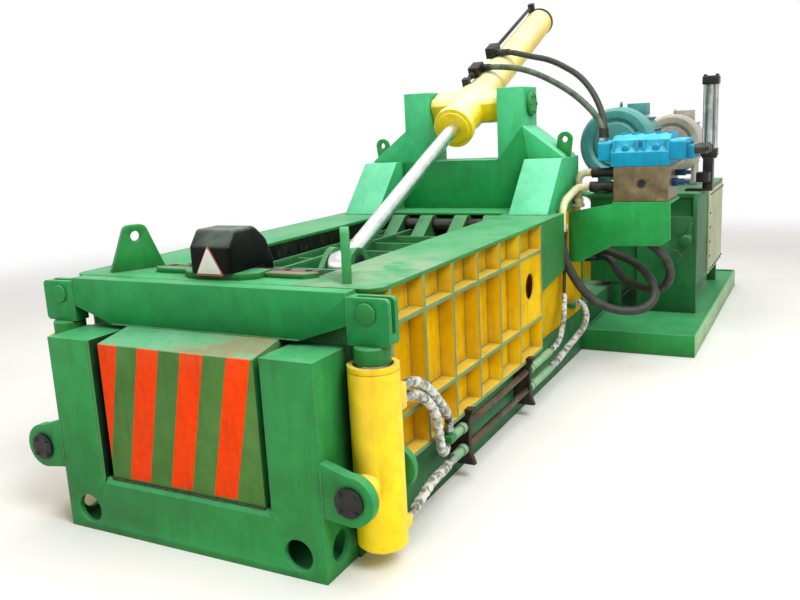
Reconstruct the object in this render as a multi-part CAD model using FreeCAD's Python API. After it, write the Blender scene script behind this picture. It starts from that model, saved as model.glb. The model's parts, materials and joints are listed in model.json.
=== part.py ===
import FreeCAD, Part
import math
import os

# Hydraulic scrap-metal baler.  Millimetres.  +X is the right-hand side seen from the
# discharge gate, +Y runs back from the gate to the main cylinder, +Z is up.  The origin
# is on the ground under the middle of the discharge frame.
V = FreeCAD.Vector
UP = V(0, 0, 1)
BACK = V(0, 1, 0)
RIGHT = V(1, 0, 0)

# ---------------------------------------------------------------- clearances
SEAT = 0.3              # gap left between curved or sliding faces
RUN = 0.05              # radial clearance of a running fit
GUIDE = 5.0             # side clearance of the guided steel blocks

# ---------------------------------------------------------------- discharge frame
frame_width = 1300.0
frame_height = 840.0
frame_depth = 222.0
column_width = 230.0
sill_height = 248.0
sill_bevel = 22.0
frame_wall = 25.0
rabbet_width = 14.0
rabbet_depth = 5.0
drain_hole = 125.0      # the round holes in the foot of the frame
drain_x = 530.0
drain_z = 95.0
side_hole_z = 106.0

front = -frame_depth / 2
opening_half = frame_width / 2 - column_width


def back(distance):
    """Y of a plane that lies this far behind the front face of the discharge frame."""
    return front + distance


# ---------------------------------------------------------------- gate and its lift
gate_face = 16.0        # recess of the striped face behind the frame
gate_half = 384.0
gate_rear = 260.0
gate_front_top = 826.0
gate_ledge_top = 860.0
gate_ledge_at = 190.0
tongue_at = 90.0
tongue_depth = 80.0
gate_lift = 550.0

beam_top = 1050.0
beam_depth = 70.0
beam_flat_half = 478.0
beam_slope_rise = 70.0
fork_inner = 686.0
fork_outer = 858.0
fork_top = 1035.0
fork_slot = 28.0
fork_slot_floor = 910.0
fork_corner = 20.0
fork_proud = 3.0
fork_pin_z = 978.0
fork_pin_d = 60.0
fork_pin_head = 80.0
tang_play = 2.0
tang_width = 98.0

lift_x = 765.0          # axis of the two lift cylinders
lift_r = 96.5
lift_bottom = 80.0
lift_top = 790.0
lift_bore_r = 75.0
lift_base = 30.0
lift_gland = 40.0
lift_groove = 20.0
lift_edge = 14.0
lift_cut = 3.0
lift_rod_r = 62.5
lift_rod_engaged = gate_lift + 50.0     # rod left inside the cylinder, gate down
port_size = 46.0
port_outward = 40.0     # the oil ports sit this far outside the cylinder's axis
port_reach = 32.0
port_low = 132.0
port_high = 638.0
port_high_height = 100.0

trunnion_z = 345.0
trunnion_pin_r = 36.0
trunnion_boss_r = 55.0
ear_r = 95.0
ear_thickness = 45.0
ear_top = 475.0
ear_foot = 265.0
rear_ear_thickness = 34.0
ear_gap = 4.0           # between a lift cylinder and the ear behind it
cap_r = 57.0
cap_thickness = 14.0
cap_bolt_circle = 44.0
cap_bolt_r = 9.0
cap_bolt_head = 8.0

# ---------------------------------------------------------------- chamber
chamber_half = 400.0
wall_thickness = 60.0
skin_outer = 700.0
skin = 10.0
rib_outer = 770.0
rib = 20.0
rib_first = 370.0
rib_pitch = 290.0
rib_count = 6
rib_last = 2190.0
rib_upper_z = 893.0
rib_lower_z = 512.0
panel_foot = 313.0
inspection_x = 765.0
inspection_plate = 12.0
inspection_at = 2000.0
inspection_z = 723.0
inspection_hole = 145.0
flange_top = 1050.0
flange_thickness = 16.0
flange_corner = 75.0       # clears the lift rod that rises past it
mouth_front = 440.0
blade_edge = 500.0
blade_proud = 20.0
blade_depth = 140.0
bar_front = 390.0
bar_half = 420.0
bar_taper = 45.0
pad_half = 190.0
pad_nose_half = 130.0
pad_front = 305.0
pad_shoulder = 350.0
pad_proud = 26.0
face_plate_at = 270.0
face_plate = 40.0
bale_top = 800.0
liner_groove = 5.0
liner_groove_pitch = 430.0

rail_inner = 460.0
rail_outer = 690.0
rail_height = 310.0
rail_wall = 16.0
rear_tie_width = 120.0
rear_tie_height = 200.0
floor_thickness = 38.0
sleeper_width = 120.0
sleeper_pitch = 840.0
machine_end = 5900.0

doubler_end = 2650.0
doubler_foot_front = 650.0
doubler_foot_rear = 700.0
doubler_thickness = 20.0

housing_end = 3290.0
head_plate = 60.0
head_plate_foot = 60.0

# ---------------------------------------------------------------- lock hood
hood_half = 100.0
hood_front = 285.0
hood_foot = 1076.0
hood_shell = 5.0
hood_brow = 1185.0      # height of the upright front
hood_crown_front = 335.0
hood_crown_rear = 474.0
hood_crown = 1250.0
hood_slope = 548.0      # where the rear slope turns down
hood_slope_z = 1190.0
hood_rear = 591.0
hood_rear_z = 1090.0
hood_skirt = 90.0       # how far the rear hangs below the pad
hood_gap = 12.0         # behind the blade's edge

# ---------------------------------------------------------------- lifting lugs
lug_thickness = 35.0
lug_height = 200.0
lug_base = 240.0
lug_top = 70.0
lug_hole = 46.0
lug_outer = (620.0, 350.0)
lug_inner = (500.0, 555.0)
rear_lug_x = 665.0
rear_lug_at = 3052.0
rear_lug_width = 96.0
rear_lug_height = 160.0
rear_lug_thickness = 26.0

# ---------------------------------------------------------------- gantry
leg_inner = 457.0
leg_outer = 702.0
leg_foot_at = 2530.0
leg_knee_at = 2846.0
leg_top = 1368.0
leg_end = 3230.0
portal_front = 2930.0
portal_rear = 3230.0
column_inner = 249.0
column_outer = 420.0
column_top = 1824.0
gusset_top = 1576.0
gusset_reach = 685.0
trunnion_at = 3090.0
trunnion_height = 1715.0
journal_r = 60.0
bearing_cap_r = 78.0
bearing_cap = 26.0

# ---------------------------------------------------------------- lid
lid_half = 390.0
lid_front = 515.0
lid_rear = 2545.0
lid_under = 803.0
lid_skin = 30.0
lid_rib_top = 955.0
lid_rib = 20.0
lid_nose = 60.0
lid_cross_pitch = 290.0
notch_half = 125.0
notch_end = 620.0
hinge_at = 2600.0
hinge_z = 980.0
hinge_pin_r = 40.0
knuckle_r = 60.0
knuckle_width = 90.0
knuckle_x = 320.0

# ---------------------------------------------------------------- lid cylinder
fall = math.radians(23.5)       # the closed cylinder falls this much to the front
pin_reach = 1919.0              # trunnion to rod pin, lid closed
eye_ahead = 23.6                # bore centre past the pin, along the rod
eye_below = 17.8                # and square to it
lid_pin_r = 25.0
eye_bore_r = 55.5
eye_r = 85.0
eye_half = 46.0
pin_lug = 30.0
pin_boss = 8.0
pin_boss_r = 75.0
lid_rod_r = 45.0
rod_tail = 300.0                # rod behind the trunnion, lid closed
barrel_r = 105.0
barrel_bore_r = 80.0
barrel_tail = 1680.0
barrel_neck_r = 118.0
gland_front = -340.0
gland_length = 60.0
gland_r = 135.0
block_half = 243.0
block_length = 200.0
block_height = 176.0
block_chamfer = 30.0
collar_r = 126.0
collar_taper = 60.0
tail_cap_r = 110.0
tail_cap = 26.0
port_block = 74.0
port_length = 120.0
port_a = 700.0
port_b = 330.0
pipe_side = -48.0       # the port blocks and pipes lie this far to the axis's side
pipe_lift = 134.0       # and this far above it
pipe_r = 13.0
sleeve_r = 19.0
sleeve_length = 55.0
foot_block = 46.0
tail_block = 44.0

# ---------------------------------------------------------------- press head and main cylinder
press_half = 395.0
press_foot = 255.0
press_top = 795.0
press_face = 2470.0
press_length = 760.0
press_wall = 40.0
socket_wall = 60.0      # ring round the rod behind the face
socket_proud = 60.0
press_stroke = 2160.0
main_rod_r = 100.0
piston = 120.0
main_gland = 110.0
stroke_spare = 10.0
main_rod_end = housing_end + head_plate + main_gland + stroke_spare + piston + press_stroke
main_bore_r = 125.0
main_r = 160.0
main_flange_r = 235.0
main_flange = 50.0
main_end = main_rod_end + 70.0
main_cap = 60.0
sleeve_wall = 25.0      # the thicker tube next to the flange
sleeve_run = 120.0
main_port_r = 38.0
main_port_proud = 70.0
front_port_at = 60.0    # behind the gland
rear_port_at = 120.0    # ahead of the tube's end
saddle_at = 420.0       # ahead of the tube's end
saddle_width = 110.0
saddle_foot = 60.0
saddle_shoulder = 260.0
saddle_top = 400.0
saddle_half = 220.0
main_cap_bolts = 12
main_cap_circle = 144.0
main_cap_bolt_r = 15.0
main_cap_head = 14.0

# ---------------------------------------------------------------- power unit
deck_inner = 690.0
deck_outer = 1450.0
deck_front = 3350.0
deck_top = 150.0
deck_lip = 22.0
deck_sunk = 12.0
deck_plate = 12.0
tank_inner = 560.0
tank_rim_out = 20.0
tank_leg = 70.0
tank_post = 30.0         # upright strip at the front outer corner
baffle_width = 400.0
baffle_top = 860.0
tank_outer = 1350.0
tank_front = 4100.0
tank_rear = 5500.0
tank_foot = 350.0
tank_top = 1030.0
tank_rim = 30.0
cover_front = 4650.0
cover_margin = 30.0
cover_thickness = 14.0
cover_bolt_r = 9.0
cover_bolt_pitch = 115.0
large_motor = (790.0, 1405.0, 3900.0, 265.0, 660.0)     # x, z, front, radius, length
small_motor = (1050.0, 1360.0, 4680.0, 238.0, 520.0)
fin_count = 16
fin_half = 4.0
eye_plate = 12.0        # lifting eye on a motor
eye_r_out = 26.0
eye_r_in = 14.0
eye_back = 40.0
eye_lift = 12.0
motor_foot_half = 40.0
motor_foot_height = 20.0
terminal_half = 70.0
terminal_rise = 48.0
tie_rod_x = 1390.0
tie_rod_at = 4330.0
tie_rod_foot = 1280.0
tie_rod_top = 1860.0
tie_rod_cap = 62.0
tie_rod_size = 112.0
tie_tube_r = 40.0
tie_bar_r = 8.0
tie_bar_in = 15.0       # bar axis in from the cap's side
tie_bar_proud = 12.0
stand_left = 40.0
stand_right = 30.0
stand_half = 45.0
stand_shelf = 120.0
tie_shelf_half = 60.0
tie_shelf = 14.0
tie_valve_left = 66.0
tie_valve_right = 20.0
tie_valve_front = 190.0
tie_valve_foot = 1105.0
tie_valve_height = 67.0

# ---------------------------------------------------------------- valve group
bracket_at = 3000.0
bracket_thickness = 20.0
bracket_shelf = 14.0
manifold_left = 984.0
manifold_right = 1320.0
manifold_foot = 1081.0
manifold_top = 1300.0
manifold_depth = 350.0
manifold_port_r = 30.0
bank_left = 884.0
bank_right = 1414.0
bank_height = 165.0
bank_step = 46.0
bank_end_drop = 8.0
window_half = 62.0
window_apart = 92.0     # window centres from the bank's middle
window_rib = 18.0
window_foot = 84.0
boss_r = 22.0
boss_z = 112.0
spool_caps = 5
spool_first = 38.0
spool_pitch = 74.0
spool_cap_r = 15.0
spool_cap = 26.0
spool_front = 170.0
spool_rear = 270.0
coil_first = 60.0
coil_pitch = 95.0
coil_base = 42.0
coil_base_depth = 76.0
coil_base_foot = 36.0
coil_base_height = 80.0
coil_z = 92.0
coil_r = 30.0
coil_length = 70.0
coil_nut_r = 17.0
coil_nut = 14.0
relief_back = 150.0
relief_z = 1190.0
knob_back = 270.0
knob_z = 1240.0
sleeve_pipe_r = 34.0
elbow_pipe_d = 48.0
elbow_x = 826.0
elbow_upper_z = 1260.0
elbow_lower_z = 1172.0
elbow_upper_at = 3110.0
elbow_lower_at = 3060.0
elbow_collar_r = 32.0
elbow_collar = 38.0
elbow_shelf = 20.0

# ---------------------------------------------------------------- pipe rack
rack_front = 1030.0
rack_rear = 1900.0
rack_width = 120.0
rack_plate = 30.0
rack_foot = 75.0
rack_height = 270.0
rack_waist = 24.0
rack_pipe_r = 17.0
rack_pipe_x = 765.0
rack_upper_z = 262.0
rack_lower_z = 158.0
rack_overhang = 20.0
union_r = 26.0
union_nut = 30.0
union_neck = 22.0
union_front_face = 890.0
union_rear_face = 2330.0

# ---------------------------------------------------------------- hoses
lid_hose_d = 40.0
loop_hose_d = 56.0
thin_hose_d = 22.0
wrapped_hose_d = 30.0
ram_pipe_d = 60.0
hose_nut_r = 20.0
ram_union_r = 42.0
ram_union_at = 662.0
ram_union_end = 742.0
ram_union_nut = 34.0
sleeve_nut = 46.0


# ================================================================ helpers
def box(x0, x1, y0, y1, z0, z1):
    """A box between two opposite corners."""
    return Part.makeBox(x1 - x0, y1 - y0, z1 - z0, V(x0, y0, z0))


def rod(radius, start, direction, length):
    """A round bar from a point along a direction."""
    return Part.makeCylinder(radius, length, start, direction)


def joined(pieces):
    """All the pieces as one welded solid."""
    shape = pieces[0].multiFuse(pieces[1:]) if len(pieces) > 1 else pieces[0]
    return shape.removeSplitter()


def both_sides(shape):
    """The shape and its mirror image on the other side of the machine."""
    return [shape, shape.mirror(V(0, 0, 0), RIGHT)]


def outline(corners):
    """A closed flat wire through corners (point, radius), with round corners."""
    edges = []
    count = len(corners)
    starts, ends = [], []
    for index, (point, radius) in enumerate(corners):
        before = corners[index - 1][0]
        after = corners[(index + 1) % count][0]
        if radius <= 0:
            starts.append(point)
            ends.append(point)
            continue
        to_before = (before - point).normalize()
        to_after = (after - point).normalize()
        half_turn = to_before.getAngle(to_after) / 2
        setback = radius / math.tan(half_turn)
        entry = point + to_before * setback
        leave = point + to_after * setback
        bisector = (to_before + to_after).normalize()
        middle = point + bisector * (radius / math.sin(half_turn) - radius)
        edges.append((index, Part.Arc(entry, middle, leave).toShape()))
        starts.append(entry)
        ends.append(leave)
    arcs = dict(edges)
    ordered = []
    for index in range(count):
        if index in arcs:
            ordered.append(arcs[index])
        nxt = (index + 1) % count
        if ends[index].distanceToPoint(starts[nxt]) > 1e-6:
            ordered.append(Part.makeLine(ends[index], starts[nxt]))
    return Part.Wire(ordered)


def plate_xz(points, y0, y1):
    """A plate square to Y: points are (x, z) or (x, z, corner radius)."""
    corners = [(V(p[0], y0, p[1]), p[2] if len(p) > 2 else 0) for p in points]
    return Part.Face(outline(corners)).extrude(V(0, y1 - y0, 0))


def plate_yz(points, x0, x1):
    """A plate square to X: points are (y, z) or (y, z, corner radius)."""
    corners = [(V(x0, p[0], p[1]), p[2] if len(p) > 2 else 0) for p in points]
    return Part.Face(outline(corners)).extrude(V(x1 - x0, 0, 0))


def plate_xy(points, z0, z1):
    """A level plate: points are (x, y) or (x, y, corner radius)."""
    corners = [(V(p[0], p[1], z0), p[2] if len(p) > 2 else 0) for p in points]
    return Part.Face(outline(corners)).extrude(V(0, 0, z1 - z0))


def turned(profile, base, direction):
    """A body turned about an axis: profile is (distance along the axis, radius)."""
    points = [V(radius, 0, along) for along, radius in profile]
    face = Part.Face(Part.makePolygon(points + [points[0]]))
    solid = face.revolve(V(0, 0, 0), UP, 360)
    solid.Placement = FreeCAD.Placement(base, FreeCAD.Rotation(UP, direction))
    return solid


def tube(name, points, diameter, share=0.45):
    """A round tube along straight runs joined by tangent arcs, with its radii printed.

    Points are (x, distance behind the front face, z).  Each arc starts at this share of
    the shorter run beside its corner.
    """
    path = [V(x, back(distance), z) for x, distance, z in points]
    edges, radii, here = [], [], path[0]
    for before, corner, after in zip(path, path[1:], path[2:]):
        incoming = corner - before
        outgoing = after - corner
        turn = incoming.getAngle(outgoing)
        shorter = min(incoming.Length, outgoing.Length)
        setback = share * shorter
        radius = setback / math.tan(turn / 2)
        to_before = (before - corner).normalize()
        to_after = (after - corner).normalize()
        entry = corner + to_before * setback
        leave = corner + to_after * setback
        bisector = (to_before + to_after).normalize()
        reach = radius / math.cos(turn / 2) - radius
        edges.append(Part.makeLine(here, entry))
        edges.append(Part.Arc(entry, corner + bisector * reach, leave).toShape())
        radii.append(radius)
        here = leave
    edges.append(Part.makeLine(here, path[-1]))
    wire = Part.Wire(edges)
    section = Part.Wire(Part.makeCircle(diameter / 2, path[0], path[1] - path[0]))
    pipe = wire.makePipeShell([section], True, False)
    expected = math.pi * diameter ** 2 / 4 * wire.Length
    print("%-20s length %6.0f  least radius %5.0f (%.1f d)  volume ratio %.4f" % (
        name, wire.Length, min(radii), min(radii) / diameter, pipe.Volume / expected))
    return pipe


# ================================================================ discharge frame
def discharge_frame():
    """The hollow U of the discharge frame with the round holes in its feet."""
    half = frame_width / 2
    rear = back(frame_depth)
    body = box(-half, half, front, rear, 0, frame_height)
    body = body.cut(box(-opening_half, opening_half, front, rear, sill_height, frame_height))
    inner_half = opening_half + frame_wall
    cavity = box(-half + frame_wall, half - frame_wall, front + frame_wall, rear - frame_wall,
                 frame_wall, frame_height - frame_wall)
    cavity = cavity.cut(box(-inner_half, inner_half, front, rear,
                            sill_height - frame_wall, frame_height))
    body = body.cut(cavity)
    bevel = plate_yz([(front, sill_height - sill_bevel), (front + sill_bevel * 0.7, sill_height),
                      (front, sill_height)], -opening_half, opening_half)
    cuts = [bevel]
    for side in (-1, 1):
        rim = side * (opening_half + rabbet_width / 2)
        cuts.append(box(rim - rabbet_width / 2, rim + rabbet_width / 2, front,
                        front + rabbet_depth, sill_height, frame_height))
        cuts.append(rod(drain_hole / 2, V(side * drain_x, front, drain_z), BACK, frame_wall * 2))
        cuts.append(rod(drain_hole / 2, V(side * half, 0, side_hole_z), RIGHT * -side,
                        frame_wall * 2))
    return [body.cut(cuts)]


def ear_plate(y0, y1, wall):
    """One ear plate from a wall out to the trunnion pin."""
    centre = V(lift_x, 0, trunnion_z)
    lobe = rod(ear_r, V(lift_x, y0, trunnion_z), BACK, y1 - y0)
    angle = math.radians(52)
    tip = (centre.x + ear_r * math.cos(angle), centre.z + ear_r * math.sin(angle))
    web = plate_xz([(wall, ear_foot), (centre.x, centre.z - ear_r), tip, (wall, ear_top)], y0, y1)
    outside = box(wall, lift_x + ear_r, y0, y1, 0, ear_top)
    plate = joined([lobe, web]).common(outside)
    return plate.cut(rod(trunnion_pin_r + SEAT, V(lift_x, y0, trunnion_z), BACK, y1 - y0))


def trunnion_ears():
    """Front ears beside the frame and rear ears on the chamber wall."""
    front_ear = ear_plate(front, front + ear_thickness, frame_width / 2)
    rear_start = back(frame_depth) + lift_r + ear_gap
    rear_ear = ear_plate(rear_start, rear_start + rear_ear_thickness, skin_outer)
    return both_sides(front_ear) + both_sides(rear_ear)


def trunnion_caps():
    """The bolted round caps on the front ears."""
    disc = rod(cap_r, V(lift_x, front - cap_thickness, trunnion_z), BACK, cap_thickness)
    parts = [disc.makeChamfer(3, [disc.Edges[2]])]
    for step in range(4):
        angle = math.radians(45 + 90 * step)
        spot = V(lift_x + cap_bolt_circle * math.cos(angle),
                 front - cap_thickness - cap_bolt_head,
                 trunnion_z + cap_bolt_circle * math.sin(angle))
        parts.append(hex_bolt(cap_bolt_r, spot, BACK, cap_bolt_head))
    return both_sides(joined(parts))


def hex_bolt(radius, base, direction, height):
    """A hexagon head."""
    corners = [V(radius * math.cos(math.radians(60 * k)), radius * math.sin(math.radians(60 * k)), 0)
               for k in range(6)]
    face = Part.Face(Part.makePolygon(corners + [corners[0]]))
    head = face.extrude(UP * height)
    head.Placement = FreeCAD.Placement(base, FreeCAD.Rotation(UP, direction))
    return head


# ================================================================ lift cylinders
def gate_cylinders():
    """The two upright cylinders with groove, trunnion pins and oil ports."""
    wall_in = lift_bore_r
    groove = lift_top - lift_groove
    profile = [(lift_bottom, 0), (lift_bottom, lift_r - lift_edge),
               (lift_bottom + lift_edge, lift_r), (groove - lift_cut, lift_r),
               (groove - lift_cut, lift_r - lift_cut), (groove, lift_r - lift_cut),
               (groove, lift_r), (lift_top, lift_r), (lift_top, wall_in),
               (lift_bottom + lift_base, wall_in),
               (lift_bottom + lift_base, 0)]
    tube = turned(profile, V(lift_x, 0, 0), UP)
    in_wall = (lift_bore_r + lift_r) / 2
    ear_back = ear_thickness + SEAT - frame_depth
    pins = [rod(trunnion_pin_r, V(lift_x, SEAT - frame_depth, trunnion_z), BACK,
                frame_depth - SEAT - in_wall),
            rod(trunnion_boss_r, V(lift_x, ear_back, trunnion_z), BACK, -ear_back - in_wall),
            rod(trunnion_boss_r, V(lift_x, in_wall, trunnion_z), BACK,
                lift_r + ear_gap - SEAT - in_wall),
            rod(trunnion_pin_r, V(lift_x, in_wall, trunnion_z), BACK,
                lift_r + ear_gap + rear_ear_thickness - in_wall)]
    centre = lift_x + port_outward
    half = port_size / 2
    for height, tall in ((port_low, port_size), (port_high, port_high_height)):
        pins.append(box(centre - half, centre + half, lift_r * 0.75, lift_r + port_reach,
                        height - tall / 2, height + tall / 2))
    bore = rod(lift_bore_r, V(lift_x, 0, lift_bottom + lift_base), UP, lift_top)
    placed = joined([tube] + pins).cut(bore)
    placed.translate(V(0, back(frame_depth), 0))
    return both_sides(placed)


def gate_glands():
    """The bolted-in rod glands in the tops of the lift cylinders."""
    ring = rod(lift_bore_r - RUN, V(lift_x, back(frame_depth), lift_top - lift_gland), UP,
               lift_gland - 2)
    bore = rod(lift_rod_r + RUN, V(lift_x, back(frame_depth), lift_top - lift_gland), UP,
               lift_gland)
    return both_sides(ring.cut(bore))


def gate_rods():
    """The rods with flat tangs that hang from the forks of the crossbeam."""
    y = back(frame_depth)
    shoulder = gate_ledge_top - 6
    bar = rod(lift_rod_r, V(lift_x, y, lift_top - lift_rod_engaged), UP,
              shoulder - lift_top + lift_rod_engaged)
    half = (fork_slot - tang_play) / 2
    crown = tang_width / 2
    tang = box(lift_x - crown, lift_x + crown, y - half, y + half, shoulder - 20, fork_pin_z)
    tang = joined([tang, rod(crown, V(lift_x, y - half, fork_pin_z), BACK, 2 * half)])
    tang = tang.common(box(lift_x - crown, lift_x + crown, y - half, y + half, 0, fork_top - 8))
    hole = rod(fork_pin_d / 2 + SEAT, V(lift_x, y - half, fork_pin_z), BACK, 2 * half)
    return both_sides(joined([bar, tang]).cut(hole))


# ================================================================ gate
def gate_panel():
    """The sliding gate: a deep welded slab with guide tongues."""
    low = sill_height + SEAT
    profile = [(back(gate_face), low), (back(gate_rear), low), (back(gate_rear), gate_ledge_top),
               (back(gate_ledge_at), gate_ledge_top), (back(gate_ledge_at - 25), gate_ledge_top - 6),
               (back(gate_face), gate_front_top, 6)]
    slab = plate_yz(profile, -gate_half, gate_half)
    reach = opening_half - GUIDE
    tongues = box(-reach, reach, back(tongue_at), back(tongue_at + tongue_depth), low,
                  gate_front_top)
    return [joined([slab, tongues])]


def crossbeam():
    """The beam that lifts the gate, with a fork at each end."""
    y0 = back(gate_ledge_at)
    y1 = y0 + beam_depth
    slope_foot = gate_ledge_top + beam_slope_rise
    rise = [(-fork_inner, slope_foot), (-beam_flat_half, gate_ledge_top),
            (beam_flat_half, gate_ledge_top), (fork_inner, slope_foot),
            (fork_inner, beam_top), (-fork_inner, beam_top)]
    web = plate_xz(rise, y0, y1)
    y_axis = back(frame_depth)
    slot0, slot1 = y_axis - fork_slot / 2, y_axis + fork_slot / 2
    parts = [web]
    for side in (-1, 1):
        near, far = side * (fork_inner - 1), side * fork_outer
        corners = [(near, gate_ledge_top), (far, gate_ledge_top, fork_corner),
                   (far, fork_top, fork_corner), (near, fork_top)]
        parts.append(plate_xz(corners, y0 - fork_proud, y1))
    beam = joined(parts)
    cuts = []
    for side in (-1, 1):
        inner = side * (lift_x - tang_width / 2 - 3)
        outer = side * (lift_x + tang_width / 2 + 3)
        left, right = min(inner, side * fork_outer), max(inner, side * fork_outer)
        cuts.append(box(left, right, slot0, slot1, fork_slot_floor, beam_top))
        cuts.append(rod(fork_slot / 2, V(left, y_axis, fork_slot_floor), RIGHT, right - left))
        cuts.append(box(min(inner, outer), max(inner, outer), slot0, slot1, gate_ledge_top,
                        fork_slot_floor))
        cuts.append(rod(fork_pin_d / 2 + SEAT, V(side * lift_x, y0 - fork_proud, fork_pin_z), BACK,
                        beam_depth + fork_proud))
    return [beam.cut(cuts)]


def fork_pins():
    """The headed pins through the forks."""
    y0 = back(gate_ledge_at) - fork_proud
    shank = rod(fork_pin_d / 2, V(lift_x, y0 - 1, fork_pin_z), BACK, beam_depth + fork_proud)
    head = rod(fork_pin_head / 2, V(lift_x, y0 - 9, fork_pin_z), BACK, 9 - SEAT)
    head = head.makeChamfer(2.5, [head.Edges[2]])
    return both_sides(joined([head, shank]))


# ================================================================ chamber
def beside_lift():
    """Outermost X of the plates that pass inside a lift cylinder."""
    return lift_x - lift_r - GUIDE


def chamber_front():
    """The portal plate behind the frame, its cheeks, head box and front flange."""
    y0 = back(face_plate_at)
    y1 = y0 + face_plate
    top = flange_top - flange_thickness
    floor = sill_height
    edge = beside_lift()
    portal = [(-edge, rail_height), (-rail_inner, rail_height), (-rail_inner, floor),
              (-chamber_half, floor), (-chamber_half, bale_top), (chamber_half, bale_top),
              (chamber_half, floor), (rail_inner, floor), (rail_inner, rail_height),
              (edge, rail_height), (edge, top), (-edge, top)]
    parts = [plate_xz(portal, y0, y1),
             box(-chamber_half, chamber_half, y1, back(mouth_front), bale_top, top),
             box(-chamber_half, chamber_half, y0, back(mouth_front), top, flange_top)]
    cheek_top = frame_height - GUIDE
    for side in (-1, 1):
        near, far = side * (opening_half + GUIDE), side * frame_width / 2
        parts.append(box(min(near, far), max(near, far), back(frame_depth), y0, rail_height,
                         cheek_top))
    return [joined(parts)]


def flange_sides():
    """The two long top flanges beside the mouth."""
    low = flange_top - flange_thickness
    flange = plate_xy([(chamber_half, back(face_plate_at)),
                       (rib_outer, back(face_plate_at), flange_corner),
                       (rib_outer, back(doubler_end)), (chamber_half, back(doubler_end))],
                      low, flange_top)
    return both_sides(flange)


def front_blade_bar():
    """The raised bar with tapered ends, broken in the middle by the lock pad."""
    bar = plate_xy([(pad_half, back(bar_front)), (bar_half - bar_taper, back(bar_front)),
                    (bar_half, back(mouth_front - 12)), (bar_half, back(mouth_front)),
                    (pad_half, back(mouth_front))], flange_top, flange_top + blade_proud)
    return both_sides(bar)


def front_shear_blade():
    """The bolted shear blade along the front edge of the mouth."""
    top = flange_top + blade_proud
    profile = [(back(mouth_front), top - blade_depth), (back(blade_edge), top - blade_depth),
               (back(blade_edge), top - 4), (back(blade_edge - 4), top), (back(mouth_front), top)]
    return [plate_yz(profile, -chamber_half + SEAT, chamber_half - SEAT)]


def lock_hood_pad():
    """The thick pad that carries the lock hood."""
    points = [(-pad_nose_half, back(pad_front), 12), (pad_nose_half, back(pad_front), 12),
              (pad_half, back(pad_shoulder), 12), (pad_half, back(mouth_front)),
              (-pad_half, back(mouth_front)), (-pad_half, back(pad_shoulder), 12)]
    return [plate_xy(points, flange_top, flange_top + pad_proud)]


def hood_profile(inset):
    """The side outline of the lock hood, drawn in by a shell thickness."""
    y0 = back(hood_front) + inset
    rear, crown = back(hood_rear) - inset, hood_crown - inset
    base = hood_foot + (0 if inset == 0 else -hood_shell)
    skirt = hood_foot - hood_skirt
    behind_blade = back(blade_edge + hood_gap)
    return [(y0, base), (y0, hood_brow - inset * 0.5, 10),
            (back(hood_crown_front) + inset * 0.3, crown, 12), (back(hood_crown_rear), crown, 40),
            (back(hood_slope) - inset, hood_slope_z, 60), (rear, hood_rear_z, 60), (rear, skirt),
            (behind_blade, skirt), (behind_blade, base)]


def lock_hood():
    """The folded black hood over the lid lock, open underneath."""
    outer = plate_yz(hood_profile(0), -hood_half, hood_half)
    inner = plate_yz(hood_profile(hood_shell), -hood_half + hood_shell, hood_half - hood_shell)
    return [outer.cut(inner)]


def chamber_walls():
    """The two lined inner walls with the joints of their wear plates."""
    y0, y1 = back(face_plate_at + face_plate), back(doubler_end)
    top = flange_top - flange_thickness
    wall = box(chamber_half, chamber_half + wall_thickness, y0, y1, sill_height, top)
    cuts = [rod(hinge_pin_r + SEAT, V(chamber_half, back(hinge_at), hinge_z), RIGHT,
                wall_thickness)]
    joint_at = mouth_front + liner_groove_pitch
    while joint_at < hinge_at:
        cuts.append(box(chamber_half, chamber_half + liner_groove, back(joint_at) - liner_groove,
                        back(joint_at), sill_height, top))
        joint_at += liner_groove_pitch
    return both_sides(wall.cut(cuts))


def side_panels():
    """The ribbed outer sides of the chamber."""
    top = flange_top - flange_thickness
    y0 = back(face_plate_at + face_plate)
    parts = [box(skin_outer - skin, skin_outer, y0, back(housing_end), panel_foot, top)]
    stations = [rib_first + rib_pitch * n for n in range(rib_count)] + [rib_last]
    for at in stations:
        parts.append(box(skin_outer - 1, rib_outer, back(at) - rib / 2, back(at) + rib / 2,
                         panel_foot, top))
    for height in (panel_foot + rib / 2, rib_lower_z, rib_upper_z):
        parts.append(box(skin_outer - 1, rib_outer, back(rib_first), back(rib_last),
                         height - rib / 2, height + rib / 2))
    last = stations[-2]
    parts.append(box(inspection_x - inspection_plate, inspection_x, back(last), back(rib_last),
                     rib_lower_z, rib_upper_z))
    panel = joined(parts)
    hole = rod(inspection_hole / 2, V(skin_outer, back(inspection_at), inspection_z), RIGHT,
               rib_outer - skin_outer)
    return both_sides(panel.cut(hole))


def doubler_plates():
    """The green doublers between the last rib and the gantry leg."""
    y0, y1 = back(rib_last) + rib / 2, back(doubler_end)
    top = flange_top - flange_thickness
    cover = plate_yz([(y0, doubler_foot_front), (y1, doubler_foot_rear), (y1, top), (y0, top)],
                     rib_outer - doubler_thickness, rib_outer)
    web = box(skin_outer, rib_outer - doubler_thickness, y1 - doubler_thickness, y1,
              doubler_foot_rear, top)
    return both_sides(joined([cover, web]))


def base_rails():
    """The two hollow base rails, cut back beside the lift cylinders, and their rear tie."""
    y0, y1 = back(frame_depth), back(machine_end)
    notch_end = y0 + lift_r + GUIDE
    outer = box(rail_inner, rail_outer, y0, y1, 0, rail_height)
    notch = box(beside_lift(), rail_outer, y0, notch_end, 0, rail_height)
    inner = box(rail_inner + rail_wall, rail_outer - rail_wall, notch_end + rail_wall,
                y1 - rail_wall, rail_wall, rail_height - rail_wall)
    tie = box(-rail_inner, rail_inner, y1 - rear_tie_width, y1, 0, rear_tie_height)
    return both_sides(outer.cut([notch, inner])) + [tie]


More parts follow.
